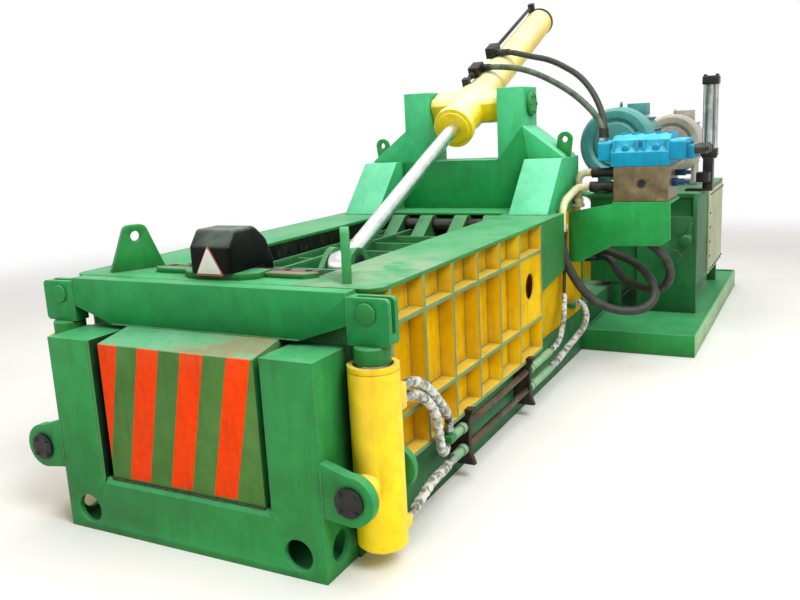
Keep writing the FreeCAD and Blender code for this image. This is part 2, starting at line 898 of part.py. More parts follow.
def chamber_floor():
    """The floor plate on its sleepers."""
    low = sill_height - floor_thickness
    parts = [box(-rail_inner, rail_inner, back(frame_depth), back(housing_end), low, sill_height)]
    at = frame_depth + sleeper_width
    while at < housing_end:
        parts.append(box(-rail_inner, rail_inner, back(at), back(at) + sleeper_width, 40, low))
        at += sleeper_pitch
    return [joined(parts)]


def rear_housing():
    """The closed roof behind the mouth and the inner cheeks under it."""
    top = flange_top - flange_thickness
    roof = box(-leg_outer, leg_outer, back(doubler_end), back(housing_end), top, flange_top)
    parts = [roof]
    for side in (-1, 1):
        near, far = side * chamber_half, side * (chamber_half + wall_thickness)
        parts.append(box(min(near, far), max(near, far), back(doubler_end), back(housing_end),
                         sill_height, top))
    return [joined(parts)]


def rear_head_plate():
    """The thick plate that takes the thrust of the main cylinder."""
    y0, y1 = back(housing_end), back(housing_end + head_plate)
    top = flange_top - flange_thickness
    shape = [(-rail_inner, head_plate_foot), (rail_inner, head_plate_foot),
             (rail_inner, rail_height), (skin_outer, rail_height), (skin_outer, top - 160),
             (skin_outer - 160, top), (160 - skin_outer, top), (-skin_outer, top - 160),
             (-skin_outer, rail_height), (-rail_inner, rail_height)]
    hole = rod(main_rod_r + 2, V(0, y0, press_axis()), BACK, head_plate)
    return [plate_xz(shape, y0, y1).cut(hole)]


def press_axis():
    """Height of the main cylinder's axis, the middle of the press head."""
    return (press_foot + press_top) / 2


# ================================================================ lifting lugs
def front_lug():
    """A lifting plate that stands askew on the flange."""
    start = V(lug_outer[0], back(lug_outer[1]), flange_top)
    along = V(lug_inner[0], back(lug_inner[1]), flange_top) - start
    along.normalize()
    across = UP.cross(along)
    def spot(distance, height):
        return start + along * distance + UP * height
    slope = (lug_base - lug_top) / 2
    corners = [(spot(0, 0), 0), (spot(lug_base, 0), 0),
               (spot(lug_base - slope + 10, lug_height), 32), (spot(slope - 10, lug_height), 32)]
    plate = Part.Face(outline(corners)).extrude(across * lug_thickness)
    centre = spot(lug_base / 2, lug_height - lug_top * 0.72)
    return plate.cut(rod(lug_hole / 2, centre, across, lug_thickness))


def rear_lug():
    """A round-headed lifting plate on top of a gantry leg."""
    y0 = back(rear_lug_at) - rear_lug_thickness / 2
    half = rear_lug_width / 2
    head = rear_lug_height - half
    foot = leg_top
    plate = plate_xz([(rear_lug_x - half - 14, foot), (rear_lug_x + half - 14, foot),
                      (rear_lug_x + half, foot + head), (rear_lug_x - half, foot + head)],
                     y0, y0 + rear_lug_thickness)
    crown = rod(half, V(rear_lug_x, y0, foot + head), BACK, rear_lug_thickness)
    hole = rod(lug_hole / 2 - 3, V(rear_lug_x, y0, foot + head), BACK, rear_lug_thickness)
    return joined([plate, crown]).cut(hole)


def lifting_lugs():
    """Four lifting lugs."""
    return both_sides(front_lug()) + both_sides(rear_lug())


# ================================================================ gantry
def gantry_legs():
    """The two raked legs behind the mouth."""
    foot = flange_top
    profile = [(back(leg_foot_at), foot), (back(leg_end), foot), (back(leg_end), leg_top),
               (back(leg_knee_at), leg_top, 8)]
    return both_sides(plate_yz(profile, leg_inner, leg_outer))


def gantry_portal():
    """The beam, the two bearing columns and their gussets."""
    y0, y1 = back(portal_front), back(portal_rear)
    axis = V(0, back(trunnion_at), trunnion_height)
    parts = [box(-leg_inner, leg_inner, y0, y1, flange_top, leg_top)]
    for side in (-1, 1):
        near, far = side * column_inner, side * column_outer
        parts.append(box(min(near, far), max(near, far), y0, y1, leg_top - 1, column_top))
        sole = side * leg_inner
        gusset = [(far - side, leg_top), (side * gusset_reach, leg_top),
                  (side * (gusset_reach - 12), leg_top + 16), (far - side, gusset_top)]
        parts.append(plate_xz(gusset, y0, y1))
        parts.append(box(min(near, sole), max(near, sole), y0, y1, leg_top - 2, leg_top))
    portal = joined(parts)
    bore = rod(journal_r + RUN, axis - RIGHT * leg_outer, RIGHT, 2 * leg_outer)
    hollow = box(-leg_inner + 40, leg_inner - 40, y0 + 25, y1 - 25, flange_top, leg_top - 25)
    return [portal.cut([bore, hollow] + both_sides(rear_lug()))]


def lid_bearing_caps():
    """The round bearing caps on the outer faces of the columns."""
    axis = V(column_outer, back(trunnion_at), trunnion_height)
    disc = rod(bearing_cap_r, axis, RIGHT, bearing_cap)
    parts = [disc.makeChamfer(5, [disc.Edges[0]])]
    for step in range(6):
        angle = math.radians(60 * step)
        spot = axis + V(bearing_cap, 56 * math.cos(angle), 56 * math.sin(angle))
        parts.append(hex_bolt(9, spot, RIGHT, 8))
    return both_sides(joined(parts))


# ================================================================ lid
def pin_centre():
    """The rod pin on the closed lid."""
    return V(0, back(trunnion_at) - pin_reach * math.cos(fall),
             trunnion_height - pin_reach * math.sin(fall))


def lid_panel():
    """The ribbed lid with its nose bar, pin lugs and hinge knuckles."""
    y0, y1 = back(lid_front), back(lid_rear)
    deck = lid_under + lid_skin
    parts = [box(-lid_half, lid_half, y0, y1, lid_under, deck),
             box(-lid_half, lid_half, y0, y0 + lid_nose, lid_under, lid_rib_top),
             box(-notch_half - lid_nose, notch_half + lid_nose, y0, back(notch_end) + lid_nose,
                 lid_under, lid_rib_top)]
    lug_inside = eye_half + 1 + pin_boss
    rails = [lid_half - lid_rib, 210]
    for x in rails:
        for side in (-1, 1):
            left = side * x if side > 0 else -x - lid_rib
            parts.append(box(left, left + lid_rib, y0, y1, deck - 1, lid_rib_top))
    at = y0 + lid_nose + lid_cross_pitch
    while at < y1:
        parts.append(box(-lid_half, lid_half, at, at + lid_rib, deck - 1, lid_rib_top - 15))
        at += lid_cross_pitch
    pin = pin_centre()
    for side in (-1, 1):
        inner = side * lug_inside
        outer = side * (lug_inside + pin_lug)
        left, right = min(inner, outer), max(inner, outer)
        lug = plate_yz([(pin.y - 230, deck - 1), (pin.y + 230, deck - 1), (pin.y + 60, pin.z + 55),
                        (pin.y - 60, pin.z + 55)], left, right)
        boss_inner = side * (eye_half + 1)
        boss = rod(pin_boss_r, V(boss_inner, pin.y, pin.z), RIGHT * side, pin_lug + pin_boss)
        parts.extend([lug, boss])
        for x in (knuckle_x, knuckle_x - 200):
            centre = side * x
            left, right = centre - knuckle_width / 2, centre + knuckle_width / 2
            parts.append(rod(knuckle_r, V(left, back(hinge_at), hinge_z), RIGHT, knuckle_width))
            arm = [(y1 - 260, deck - 1), (y1 - 1, lid_under), (back(hinge_at) + 36, hinge_z - 46),
                   (back(hinge_at) - 30, hinge_z + 50)]
            parts.append(plate_yz(arm, left, right))
    lid = joined(parts)
    pocket = box(-lug_inside, lug_inside, pin.y - 150, pin.y + 150, deck, flange_top)
    bosses = [rod(pin_boss_r, V(side * (eye_half + 1), pin.y, pin.z), RIGHT * side, pin_boss)
              for side in (-1, 1)]
    cuts = [box(-notch_half, notch_half, y0, back(notch_end), lid_under, lid_rib_top),
            rod(hinge_pin_r + RUN, V(-lid_half, back(hinge_at), hinge_z), RIGHT, 2 * lid_half),
            rod(lid_pin_r + SEAT, V(-150, pin.y, pin.z), RIGHT, 300)]
    return [lid.cut(pocket.cut(bosses)).cut(cuts)]


def lid_pin():
    """The pin of the rod eye, kept by a plate at each end."""
    pin = pin_centre()
    reach = eye_half + 1 + pin_boss + pin_lug
    shank = rod(lid_pin_r, V(-reach, pin.y, pin.z), RIGHT, 2 * reach)
    parts = [shank]
    for side in (-1, 1):
        parts.append(rod(lid_pin_r + 14, V(side * (reach + SEAT), pin.y, pin.z), RIGHT * side, 12))
        parts.append(rod(lid_pin_r, V(side * (reach - 1), pin.y, pin.z), RIGHT * side, 2))
    return [joined(parts)]


def lid_hinge_pin():
    """The long hinge pin through the chamber walls."""
    reach = chamber_half + wall_thickness
    return [rod(hinge_pin_r, V(-reach, back(hinge_at), hinge_z), RIGHT, 2 * reach)]


# ================================================================ lid cylinder
def along_rod(distance, side=0.0, lift=0.0):
    """A point behind the trunnion along the lid cylinder, to its side and above it."""
    centre = V(0, back(trunnion_at), trunnion_height)
    rear = V(0, math.cos(fall), math.sin(fall))
    above = V(0, -math.sin(fall), math.cos(fall))
    return centre + rear * distance + RIGHT * side + above * lift


def rod_axis():
    """Direction of the lid cylinder, rearward and up."""
    return V(0, math.cos(fall), math.sin(fall))


def along_cylinder(shape):
    """Lay a shape that was made along +Z from the origin along the lid cylinder."""
    shape.Placement = FreeCAD.Placement(along_rod(0), FreeCAD.Rotation(UP, rod_axis()))
    return shape


def barrel_outline(grow):
    """Outside of the barrel from its collar to its tail, grown by a clearance."""
    block = block_length / 2
    return [(-block - 30, barrel_neck_r + grow), (-block, collar_r + grow),
            (block, collar_r + grow), (block + collar_taper, barrel_r + grow),
            (barrel_tail, barrel_r + grow)]


def lid_barrel():
    """The barrel with its trunnion block and journals."""
    neck = gland_front + gland_length
    profile = [(neck, barrel_bore_r), (neck, barrel_neck_r)] + barrel_outline(0)
    profile.append((barrel_tail, barrel_bore_r))
    shell = along_cylinder(turned(profile, V(0, 0, 0), UP))
    half, tall, c = block_length / 2, block_height / 2, block_chamfer
    section = [(-half, -tall + c), (-half + c, -tall), (half - c, -tall), (half, -tall + c),
               (half, tall - c), (half - c, tall), (-half + c, tall), (-half, tall - c)]
    arms = plate_yz(section, -block_half, block_half)
    arms.Placement = FreeCAD.Placement(along_rod(0), FreeCAD.Rotation(RIGHT, math.degrees(fall)))
    reach = column_outer - SEAT
    journals = rod(journal_r, along_rod(0, -reach), RIGHT, 2 * reach)
    bore = rod(barrel_bore_r, along_rod(neck), rod_axis(), barrel_tail - neck)
    return [joined([shell, arms, journals]).cut(bore)]


def lid_gland():
    """The flanged gland at the mouth of the lid cylinder."""
    profile = [(gland_front, lid_rod_r + RUN), (gland_front, gland_r - 30),
               (gland_front + 6, gland_r - 26), (gland_front + 6, gland_r - 4),
               (gland_front + 10, gland_r), (gland_front + gland_length, gland_r),
               (gland_front + gland_length, lid_rod_r + RUN)]
    return [along_cylinder(turned(profile, V(0, 0, 0), UP))]


def fitting_block(distance, length, width, low, high):
    """A square block on the lid cylinder, round the line of its steel pipes."""
    block = Part.makeBox(width, length, high - low, V(-width / 2, 0, low))
    place = along_rod(distance, pipe_side)
    block.Placement = FreeCAD.Placement(place, FreeCAD.Rotation(RIGHT, math.degrees(fall)))
    return block


def lid_pipework():
    """Tail cap, port blocks and the steel pipes along the lid cylinder."""
    axis = rod_axis()
    half = port_block / 2
    grown = barrel_outline(SEAT)
    barrel = along_cylinder(turned([(grown[0][0], 0)] + grown + [(barrel_tail, 0)],
                                   V(0, 0, 0), UP))
    reach = port_length / 2
    blocks = [fitting_block(at - reach, port_length, port_block, pipe_lift - half,
                            pipe_lift + half).cut(barrel) for at in (port_a, port_b)]
    cap = rod(tail_cap_r, along_rod(barrel_tail), axis, tail_cap)
    tail = fitting_block(barrel_tail + tail_cap - tail_block, tail_block, tail_block,
                         barrel_r * 0.8, pipe_lift + tail_block / 2).cut(barrel)
    rear_start = port_a + reach
    rear_pipe = rod(pipe_r, along_rod(rear_start, pipe_side, pipe_lift), axis,
                    barrel_tail + tail_cap - tail_block - rear_start)
    foot_start = block_length / 2
    foot = fitting_block(foot_start, foot_block, foot_block, barrel_r * 0.8,
                         pipe_lift + foot_block / 2).cut(barrel)
    fore_start = foot_start + foot_block
    fore_pipe = rod(pipe_r, along_rod(fore_start, pipe_side, pipe_lift), axis,
                    port_b - reach - fore_start)
    sleeve = rod(sleeve_r, along_rod(port_b - reach - 1.2 * sleeve_length, pipe_side, pipe_lift),
                 axis, sleeve_length)
    x, at, z = LID_HOSE_TAIL[0]
    face = pipe_side + port_block / 2
    nut = hex_bolt(hose_nut_r, V(face, back(at), z), RIGHT, x - face)
    return [joined([cap, tail]), rear_pipe, joined([foot, fore_pipe, sleeve]), nut] + blocks


def lid_rod():
    """The chromed rod with its eye and piston."""
    axis = rod_axis()
    centre = along_rod(-pin_reach - eye_ahead, 0, -eye_below)
    eye = rod(eye_r, centre - RIGHT * eye_half, RIGHT, 2 * eye_half)
    bar = rod(lid_rod_r, along_rod(-pin_reach), axis, pin_reach + rod_tail)
    piston_disc = rod(barrel_bore_r - RUN, along_rod(rod_tail - 90), axis, 90)
    hole = rod(eye_bore_r, centre - RIGHT * eye_half, RIGHT, 2 * eye_half)
    return [joined([bar, eye, piston_disc]).cut(hole)]


# ================================================================ press head and main cylinder
def press_head():
    """The press head: welded plates open to the rear behind a thick face and its backing."""
    y0, y1 = back(press_face), back(press_face + press_length)
    joint, inside = y0 + press_wall, y0 + 2 * press_wall
    face = box(-press_half, press_half, y0, joint, press_foot, press_top)
    backing = box(-press_half, press_half, joint, inside, press_foot, press_top)
    socket = rod(main_rod_r + socket_wall, V(0, joint, press_axis()), BACK,
                 press_wall + socket_proud)
    bore = rod(main_rod_r + RUN, V(0, joint, press_axis()), BACK, press_length)
    inner = press_half - press_wall
    side = box(inner, press_half, inside, y1, press_foot, press_top)
    floor = box(-inner, inner, inside, y1, press_foot, press_foot + press_wall)
    roof = box(-inner, inner, inside, y1, press_top - press_wall, press_top)
    return [face, joined([backing, socket]).cut(bore), floor, roof] + both_sides(side)


def main_rod():
    """The main rod with its piston."""
    y0 = back(press_face) + press_wall
    bar = rod(main_rod_r, V(0, y0, press_axis()), BACK, back(main_rod_end) - y0)
    disc = rod(main_bore_r - RUN, V(0, back(main_rod_end - piston), press_axis()), BACK, piston)
    return [joined([bar, disc])]


def main_cylinder():
    """The main cylinder with its flange, oil ports and saddle."""
    y0 = housing_end + head_plate
    gland = main_gland
    sleeve_end = main_flange + sleeve_run
    profile = [(0, main_rod_r + RUN), (0, main_flange_r), (main_flange, main_flange_r),
               (main_flange, main_r + sleeve_wall), (sleeve_end, main_r + sleeve_wall),
               (sleeve_end + sleeve_wall, main_r), (main_end - y0, main_r),
               (main_end - y0, main_bore_r),
               (gland, main_bore_r), (gland, main_rod_r + RUN)]
    tube = turned(profile, V(0, back(y0), press_axis()), BACK)
    bore = rod(main_bore_r, V(0, back(y0) + gland, press_axis()), BACK, main_end - y0)
    ports = [rod(main_port_r, V(0, y, press_axis()), UP, main_r + main_port_proud)
             for y in (back(y0) + gland + front_port_at, back(main_end) - rear_port_at)]
    saddle = plate_xz([(-rail_inner, saddle_foot), (rail_inner, saddle_foot),
                       (rail_inner, saddle_shoulder), (saddle_half, saddle_top),
                       (-saddle_half, saddle_top), (-rail_inner, saddle_shoulder)],
                      back(main_end) - saddle_at, back(main_end) - saddle_at + saddle_width)
    inside = rod(main_rod_r + RUN, V(0, back(y0), press_axis()), BACK, gland)
    return [joined([tube, saddle] + ports).cut([bore, inside])]


def main_cylinder_cap():
    """The bolted rear cap of the main cylinder."""
    profile = [(0, 0), (0, main_r + 22), (main_cap - 12, main_r + 22), (main_cap, main_r + 8),
               (main_cap, 0)]
    parts = [turned(profile, V(0, back(main_end), press_axis()), BACK)]
    for step in range(main_cap_bolts):
        angle = 2 * math.pi * (step + 0.5) / main_cap_bolts
        spot = V(main_cap_circle * math.cos(angle), back(main_end) + main_cap,
                 press_axis() + main_cap_circle * math.sin(angle))
        parts.append(hex_bolt(main_cap_bolt_r, spot, BACK, main_cap_head))
    return [joined(parts)]


# ================================================================ power unit
def power_base():
    """The platform with raised lips and a channel line along its front."""
    y0, y1 = back(deck_front), back(machine_end)
    rim = deck_lip
    body = box(deck_inner, deck_outer, y0, y1, 0, deck_top)
    floor = deck_top - deck_sunk
    tray = box(deck_inner + rim, deck_outer - rim, y0 + rim, y1 - rim, floor, deck_top)
    under = box(deck_inner + rim, deck_outer - rim, y0 + rim, y1 - rim, 0, floor - deck_plate)
    return [body.cut([tray, under])]


def tank():
    """The oil tank on its feet, with the folded rim and a side frame for the cover."""
    y0, y1 = back(tank_front), back(tank_rear)
    out, floor = tank_rim_out, deck_top - deck_sunk
    parts = [box(tank_inner, tank_outer, y0, y1, tank_foot, tank_top),
             box(tank_inner - out, tank_outer + cover_thickness / 2, y0 - out, y1 + out,
                 tank_top - tank_rim, tank_top)]
    for x in (deck_inner + deck_lip + GUIDE, tank_outer - tank_leg - out):
        for y in (y0 + out, y1 - tank_leg - out):
            parts.append(box(x, x + tank_leg, y, y + tank_leg, floor, tank_foot + 1))
    post = tank_outer - tank_post
    parts.append(box(post, tank_outer, y0 - tank_post, y0 + 1, floor, tank_top - 1))
    parts.append(box(post - baffle_width, post + 1, y0 - tank_post, y0 + 1, floor, baffle_top))
    spout_x, spout_z = tank_outer - 2.2 * tank_post, baffle_top - 160
    spout = turned([(-1, 0), (-1, 34), (40, 34), (48, 24), (90, 24), (96, 36), (130, 36), (130, 0)],
                   V(spout_x, y0 - tank_post, spout_z), V(0, -1, 0))
    lever = rod(9, V(spout_x, y0 - tank_post - 70, spout_z), V(0.3, 0, 1), 130)
    flange = turned([(-1, 0), (-1, 60), (26, 60), (26, 0)],
                    V(post - baffle_width / 3, y0 - tank_post, spout_z - 140), V(0, -1, 0))
    return [joined(parts + [spout, lever, flange])]


def tank_cover():
    """The pale cover on the outer side of the tank with its ring of bolts."""
    y0, y1 = back(cover_front), back(tank_rear)
    z0, z1 = tank_foot - 20, tank_top - tank_rim - 3
    x1 = tank_outer + cover_thickness
    parts = [box(tank_outer, x1, y0, y1, z0, z1)]
    cover = parts[0].makeChamfer(4, [e for e in parts[0].Edges if e.BoundBox.XMin > x1 - 1])
    bolts = []
    for z in (z0 + cover_margin, z1 - cover_margin):
        y = y0 + cover_margin
        while y < y1:
            bolts.append(V(x1, y, z))
            y += cover_bolt_pitch
    z = z0 + cover_margin + cover_bolt_pitch
    while z < z1 - cover_margin - cover_bolt_pitch / 2:
        bolts.append(V(x1, y0 + cover_margin, z))
        z += cover_bolt_pitch
    heads = [hex_bolt(cover_bolt_r, spot, RIGHT, 7) for spot in bolts]
    return [joined([cover] + heads)]


def motor(place, feet_top, box_side):
    """An electric motor lying along Y: cowl, ribbed body, end shield, feet, terminal box."""
    x, z, at, radius, length = place
    core = radius * 0.86
    cowl = radius * 0.62
    profile = [(0, 0), (0, radius * 0.55), (14, radius * 0.62), (-6, radius * 0.72),
               (-6, radius * 0.9), (20, radius * 0.98), (cowl, radius), (cowl, core),
               (length - 40, core), (length - 20, core * 0.92), (length, core * 0.5), (length, 0)]
    parts = [turned(profile, V(x, back(at), z), BACK)]
    fin_length = length - 50 - cowl
    for step in range(fin_count):
        angle = 2 * math.pi * step / fin_count
        fin = box(core - 6, radius * 0.96, -fin_half, fin_half, 0, fin_length)
        fin.Placement = FreeCAD.Placement(
            V(x, back(at) + cowl + 4, z),
            FreeCAD.Rotation(BACK, math.degrees(angle)) * FreeCAD.Rotation(UP, BACK))
        parts.append(fin)
    mid = back(at) + cowl + fin_length / 2
    for side in (-1, 1):
        foot_x = x + side * radius * 0.62
        sole_top = feet_top + motor_foot_height
        parts.append(box(foot_x - motor_foot_half, foot_x + motor_foot_half,
                         mid - fin_length * 0.42, mid + fin_length * 0.42, feet_top, sole_top))
        parts.append(box(foot_x - motor_foot_half * 0.3, foot_x + motor_foot_half * 0.3,
                         mid - fin_length * 0.4, mid + fin_length * 0.4, sole_top - 1,
                         z - core * 0.55))
    top = z + radius * 0.9
    parts.append(box(x + box_side - terminal_half, x + box_side + terminal_half,
                     mid - terminal_half, mid + terminal_half, top - 40, top + terminal_rise))
    eye_at = V(x - eye_plate / 2, back(at) + cowl + eye_back, z + radius + eye_lift)
    shank = box(x - eye_plate / 2, x + eye_plate / 2, eye_at.y - eye_plate, eye_at.y + eye_plate,
                z + core - 4, eye_at.z)
    eye = joined([rod(eye_r_out, eye_at, RIGHT, eye_plate), shank])
    parts.append(eye.cut(rod(eye_r_in, eye_at, RIGHT, eye_plate)))
    return [joined(parts)]


def tie_rod_unit():
    """The upright tie-rod cylinder with square caps, its valve and stand."""
    half = tie_rod_size / 2
    y = back(tie_rod_at)
    parts = []
    for z in (tie_rod_foot, tie_rod_top - tie_rod_cap):
        cap = box(tie_rod_x - half, tie_rod_x + half, y - half, y + half, z, z + tie_rod_cap)
        parts.append(cap.makeChamfer(6, [e for e in cap.Edges if e.Length > tie_rod_size - 1]))
    span = tie_rod_top - tie_rod_foot - 2 * tie_rod_cap
    parts.append(rod(tie_tube_r, V(tie_rod_x, y, tie_rod_foot + tie_rod_cap - 1), UP, span + 2))
    for dx in (-1, 1):
        for dy in (-1, 1):
            spot = V(tie_rod_x + dx * (half - tie_bar_in), y + dy * (half - tie_bar_in),
                     tie_rod_foot - tie_bar_proud)
            parts.append(rod(tie_bar_r, spot, UP, tie_rod_top - tie_rod_foot + 2 * tie_bar_proud))
    stand_x = tie_rod_x + stand_right
    stand = box(tie_rod_x - stand_left, stand_x, y - stand_half, y + stand_half, tank_top,
                tie_rod_foot + 1)
    shelf = box(tank_outer - stand_shelf, stand_x, y - tie_shelf_half, y + tie_shelf_half,
                tank_top, tank_top + tie_shelf)
    valve = box(tie_rod_x - tie_valve_left, tie_rod_x + tie_valve_right, y - tie_valve_front,
                y - stand_half + 1, tie_valve_foot, tie_valve_foot + tie_valve_height)
    return [joined(parts + [stand, shelf, valve])]


# ================================================================ valve group
def valve_bracket():
    """The plate that carries the valves, with its shelf and gusset."""
    y0 = back(bracket_at)
    wall = leg_outer
    plate = plate_xz([(wall, 690), (772, 690), (980, 800), (1277, 806, 50), (1336, 845),
                      (1332, 1067), (980, 1067), (wall, 1016)], y0, y0 + bracket_thickness)
    top = manifold_foot - SEAT
    shelf = box(manifold_left - 4, manifold_right + 12, y0, y0 + manifold_depth,
                top - bracket_shelf, top)
    gusset = plate_yz([(y0 + 10, 840), (y0 + manifold_depth - 10, top - 30),
                       (y0 + manifold_depth - 10, top - 10), (y0 + 10, top - 10)], 1010, 1030)
    flange = plate_yz([(y0, 690), (y0 + 120, 760), (y0 + 120, 1016), (y0, 1016)], wall, wall + 16)
    return [joined([plate, shelf, gusset, flange])]


def manifold():
    """The drilled manifold block."""
    y0 = back(bracket_at)
    block = box(manifold_left, manifold_right, y0, y0 + manifold_depth, manifold_foot,
                manifold_top)
    block = block.makeChamfer(4, block.Edges)
    port = turned([(-1, 0), (-1, manifold_port_r), (6, manifold_port_r), (6, 18), (26, 18),
                   (26, 0)], V(1157, y0, 1191), BACK)
    return [block.cut(port)]


def valve_bank():
    """The cast valve bank: end caps, sloped windows with bosses and stepped crown."""
    y0 = back(bracket_at)
    y1 = y0 + manifold_depth
    z0 = manifold_top + SEAT
    z1 = z0 + bank_height
    mid = (bank_left + bank_right) / 2
    middle_left, middle_right = bank_left + 85, bank_right - 95
    body = plate_yz([(y0, z0), (y1, z0), (y1, z1 + 25, 10), (y0 + 110, z1 + 22, 8),
                     (y0 + 44, z1 - 6, 8), (y0 + 34, z1 - bank_step), (y0, z1 - bank_step - 34)],
                    middle_left, middle_right)
    parts = [body]
    for left, right in ((bank_left, middle_left + 1), (middle_right - 1, bank_right)):
        end = plate_yz([(y0 + 26, z0 + 34, 8), (y1 - 20, z0 + 34, 8),
                        (y1 - 20, z1 - bank_end_drop, 22), (y0 + 26, z1 - bank_end_drop, 22)],
                       left, right)
        parts.append(end)
        outer, direction = (left, RIGHT * -1) if left < mid else (right, RIGHT)
        heights = (z0 + 60, z1 - 34) if left < mid else (z1 - 34,)
        for y in (y0 + 70, y1 - 70):
            for z in heights:
                parts.append(hex_bolt(11, V(outer, y, z), direction, 10))
    for centre in (mid - window_apart, mid + window_apart):
        rib_plate = box(centre - window_half - window_rib, centre - window_half, y0 + 4, y0 + 60,
                        z0 + window_foot, z1 - 6)
        parts.append(rib_plate)
        parts.append(rib_plate.translated(V(2 * window_half + window_rib, 0, 0)))
        boss = turned([(0, 0), (0, boss_r), (34, boss_r), (38, 16), (38, 0)],
                      V(centre, y0 + 44, z0 + boss_z), V(0, -1, 0))
        parts.append(boss)
    for step in range(spool_caps):
        x = middle_left + spool_first + step * spool_pitch
        for y in (y0 + spool_front, y0 + spool_rear):
            parts.append(rod(spool_cap_r, V(x, y, z1 + 10), UP, spool_cap))
    return [joined(parts)]


def valve_solenoids():
    """The stack of pilot valves and coils behind and beside the bank."""
    y0 = back(bracket_at)
    x0 = bank_right + SEAT
    parts = []
    for row in range(3):
        y = y0 + coil_first + row * coil_pitch
        base = box(x0, x0 + coil_base, y, y + coil_base_depth, manifold_top + coil_base_foot,
                   manifold_top + coil_base_foot + coil_base_height)
        centre = V(x0 + coil_base - 1, y + coil_base_depth / 2, manifold_top + coil_z)
        coil = rod(coil_r, centre, RIGHT, coil_length)
        nut = hex_bolt(coil_nut_r, centre + RIGHT * coil_length, RIGHT, coil_nut)
        parts.append(joined([base, coil, nut]))
    relief = turned([(0, 0), (0, 26), (34, 26), (38, 20), (70, 20), (76, 12), (104, 12), (104, 0)],
                    V(manifold_right + SEAT, y0 + relief_back, relief_z), RIGHT)
    knob = turned([(0, 0), (0, 20), (60, 20), (66, 13), (92, 13), (92, 0)],
                  V(manifold_right + SEAT, y0 + knob_back, knob_z), RIGHT)
    return parts + [relief, knob]


# ================================================================ pipe rack
def rack_plate_shape(at):
    """One waisted rack plate that stands out from the base rail."""
    x0, x1 = rail_outer, rail_outer + rack_width
    z0, z1 = rack_foot, rack_foot + rack_height
    w = rack_waist
    plate = plate_xz([(x0, z0), (x1, z0), (x1 - w, z0 + 60, 30), (x1 - w, z1 - 60, 30), (x1, z1),
                      (x0, z1)], back(at), back(at) + rack_plate)
    cap = box(x0, x1, back(at) - 8, back(at) + rack_plate + 8, z1 - 12, z1)
    beside_rib = box(x0, rib_outer + SEAT, back(at) - 8, back(at) + rack_plate + 8,
                     panel_foot - SEAT, z1)
    return joined([plate, cap]).cut(beside_rib)


def pipe_rack():
    """The two rack plates beside the right-hand rail."""
    plates = []
    for at in (rack_front, rack_rear):
        plate = rack_plate_shape(at)
        for z in (rack_upper_z, rack_lower_z):
            plate = plate.cut(rod(rack_pipe_r + SEAT, V(rack_pipe_x, back(at) - 10, z), BACK,
                                  rack_plate + 20))
        plates.append(plate)
    return plates


def rack_pipes():
    """The two long pipes held by the rack."""
    return [rod(rack_pipe_r, V(rack_pipe_x, back(rack_front - rack_overhang), z), BACK,
                rack_rear - rack_front + rack_plate + 2 * rack_overhang)
            for z in (rack_upper_z, rack_lower_z)]


def union_profile(length):
    """Half section of a screwed union: nut, neck, nut and hose socket."""
    waist, socket = union_r * 0.7, union_r * 0.88
    nut, neck = union_nut, union_nut + union_neck
    return [(0, 0), (0, union_r), (nut, union_r), (nut, waist), (neck, waist),
            (neck, socket), (length, socket), (length, 0)]


def pipe_unions():
    """The screwed unions at both ends of the rack pipes."""
    unions = []
    near = rack_front - rack_overhang - SEAT
    far = rack_rear + rack_plate + rack_overhang + SEAT
    for z in (rack_upper_z, rack_lower_z):
        unions.append(turned(union_profile(near - union_front_face),
                             V(rack_pipe_x, back(near), z), V(0, -1, 0)))
        unions.append(turned(union_profile(union_rear_face - far),
                             V(rack_pipe_x, back(far), z), BACK))
    return unions


# ================================================================ hoses
# Routes as (x, distance behind the front face, z); each first and last point lies on the
# face of the port or union that holds the hose.
LID_HOSE_TAIL = [(30, 3649.2, 2096.7), (95, 3649.2, 2096.7), (185, 3640, 2072),
                 (280, 3611, 2046), (370, 3574, 2026), (460, 3532, 1994), (552, 3480, 1948),
                 (636, 3425, 1903), (714, 3360, 1843), (778, 3295, 1777), (829, 3234, 1710),
                 (865, 3184, 1650), (887, 3148, 1602), (900, 3128, 1556), (905, 3120, 1516),
                 (905, 3120, 1480)]
LID_HOSE_HEAD = [(-11, 3374.1, 1984.6), (70, 3374.1, 1984.6), (165, 3371, 1976),
                 (256, 3358, 1960), (349, 3338, 1932), (442, 3310, 1893), (535, 3275, 1847),
                 (629, 3230, 1795), (716, 3180, 1739), (790, 3130, 1681), (842, 3094, 1634),
                 (876, 3073, 1592), (896, 3061, 1552), (905, 3055, 1514), (905, 3055, 1480)]
LOOP_HOSE_OUTER = [(745, 2690, 930), (745, 2690, 850), (748, 2735, 765), (778, 2762, 665),
                   (838, 2825, 535), (930, 2874, 442), (1054, 2904, 398), (1175, 2945, 400),
                   (1236, 3000, 446), (1245, 3055, 502), (1212, 3115, 556), (1163, 3172, 603),
                   (1089, 3240, 645), (1000, 3315, 672), (915, 3395, 684), (848, 3480, 690),
                   (742, 3480, 690)]
LOOP_HOSE_INNER = [(742, 3560, 640), (822, 3560, 640), (880, 3500, 590), (930, 3400, 553),
                   (1005, 3305, 522), (1090, 3245, 497), (1188, 3200, 478), (1275, 3168, 505),
                   (1325, 3125, 590), (1318, 3085, 690), (1262, 3070, 764), (1188, 3066, 820),
                   (1125, 3072, 885), (1095, 3080, 955), (1095, 3080, 1020)]
THIN_HOSE = [(728, 2797, 930), (728, 2797, 850), (729, 2790, 760), (731, 2778, 660),
             (735, 2762, 560), (742, 2735, 460), (752, 2680, 370), (762, 2590, 300),
             (766, 2490, 268), (765, 2405, 262), (765, 2330, 262)]
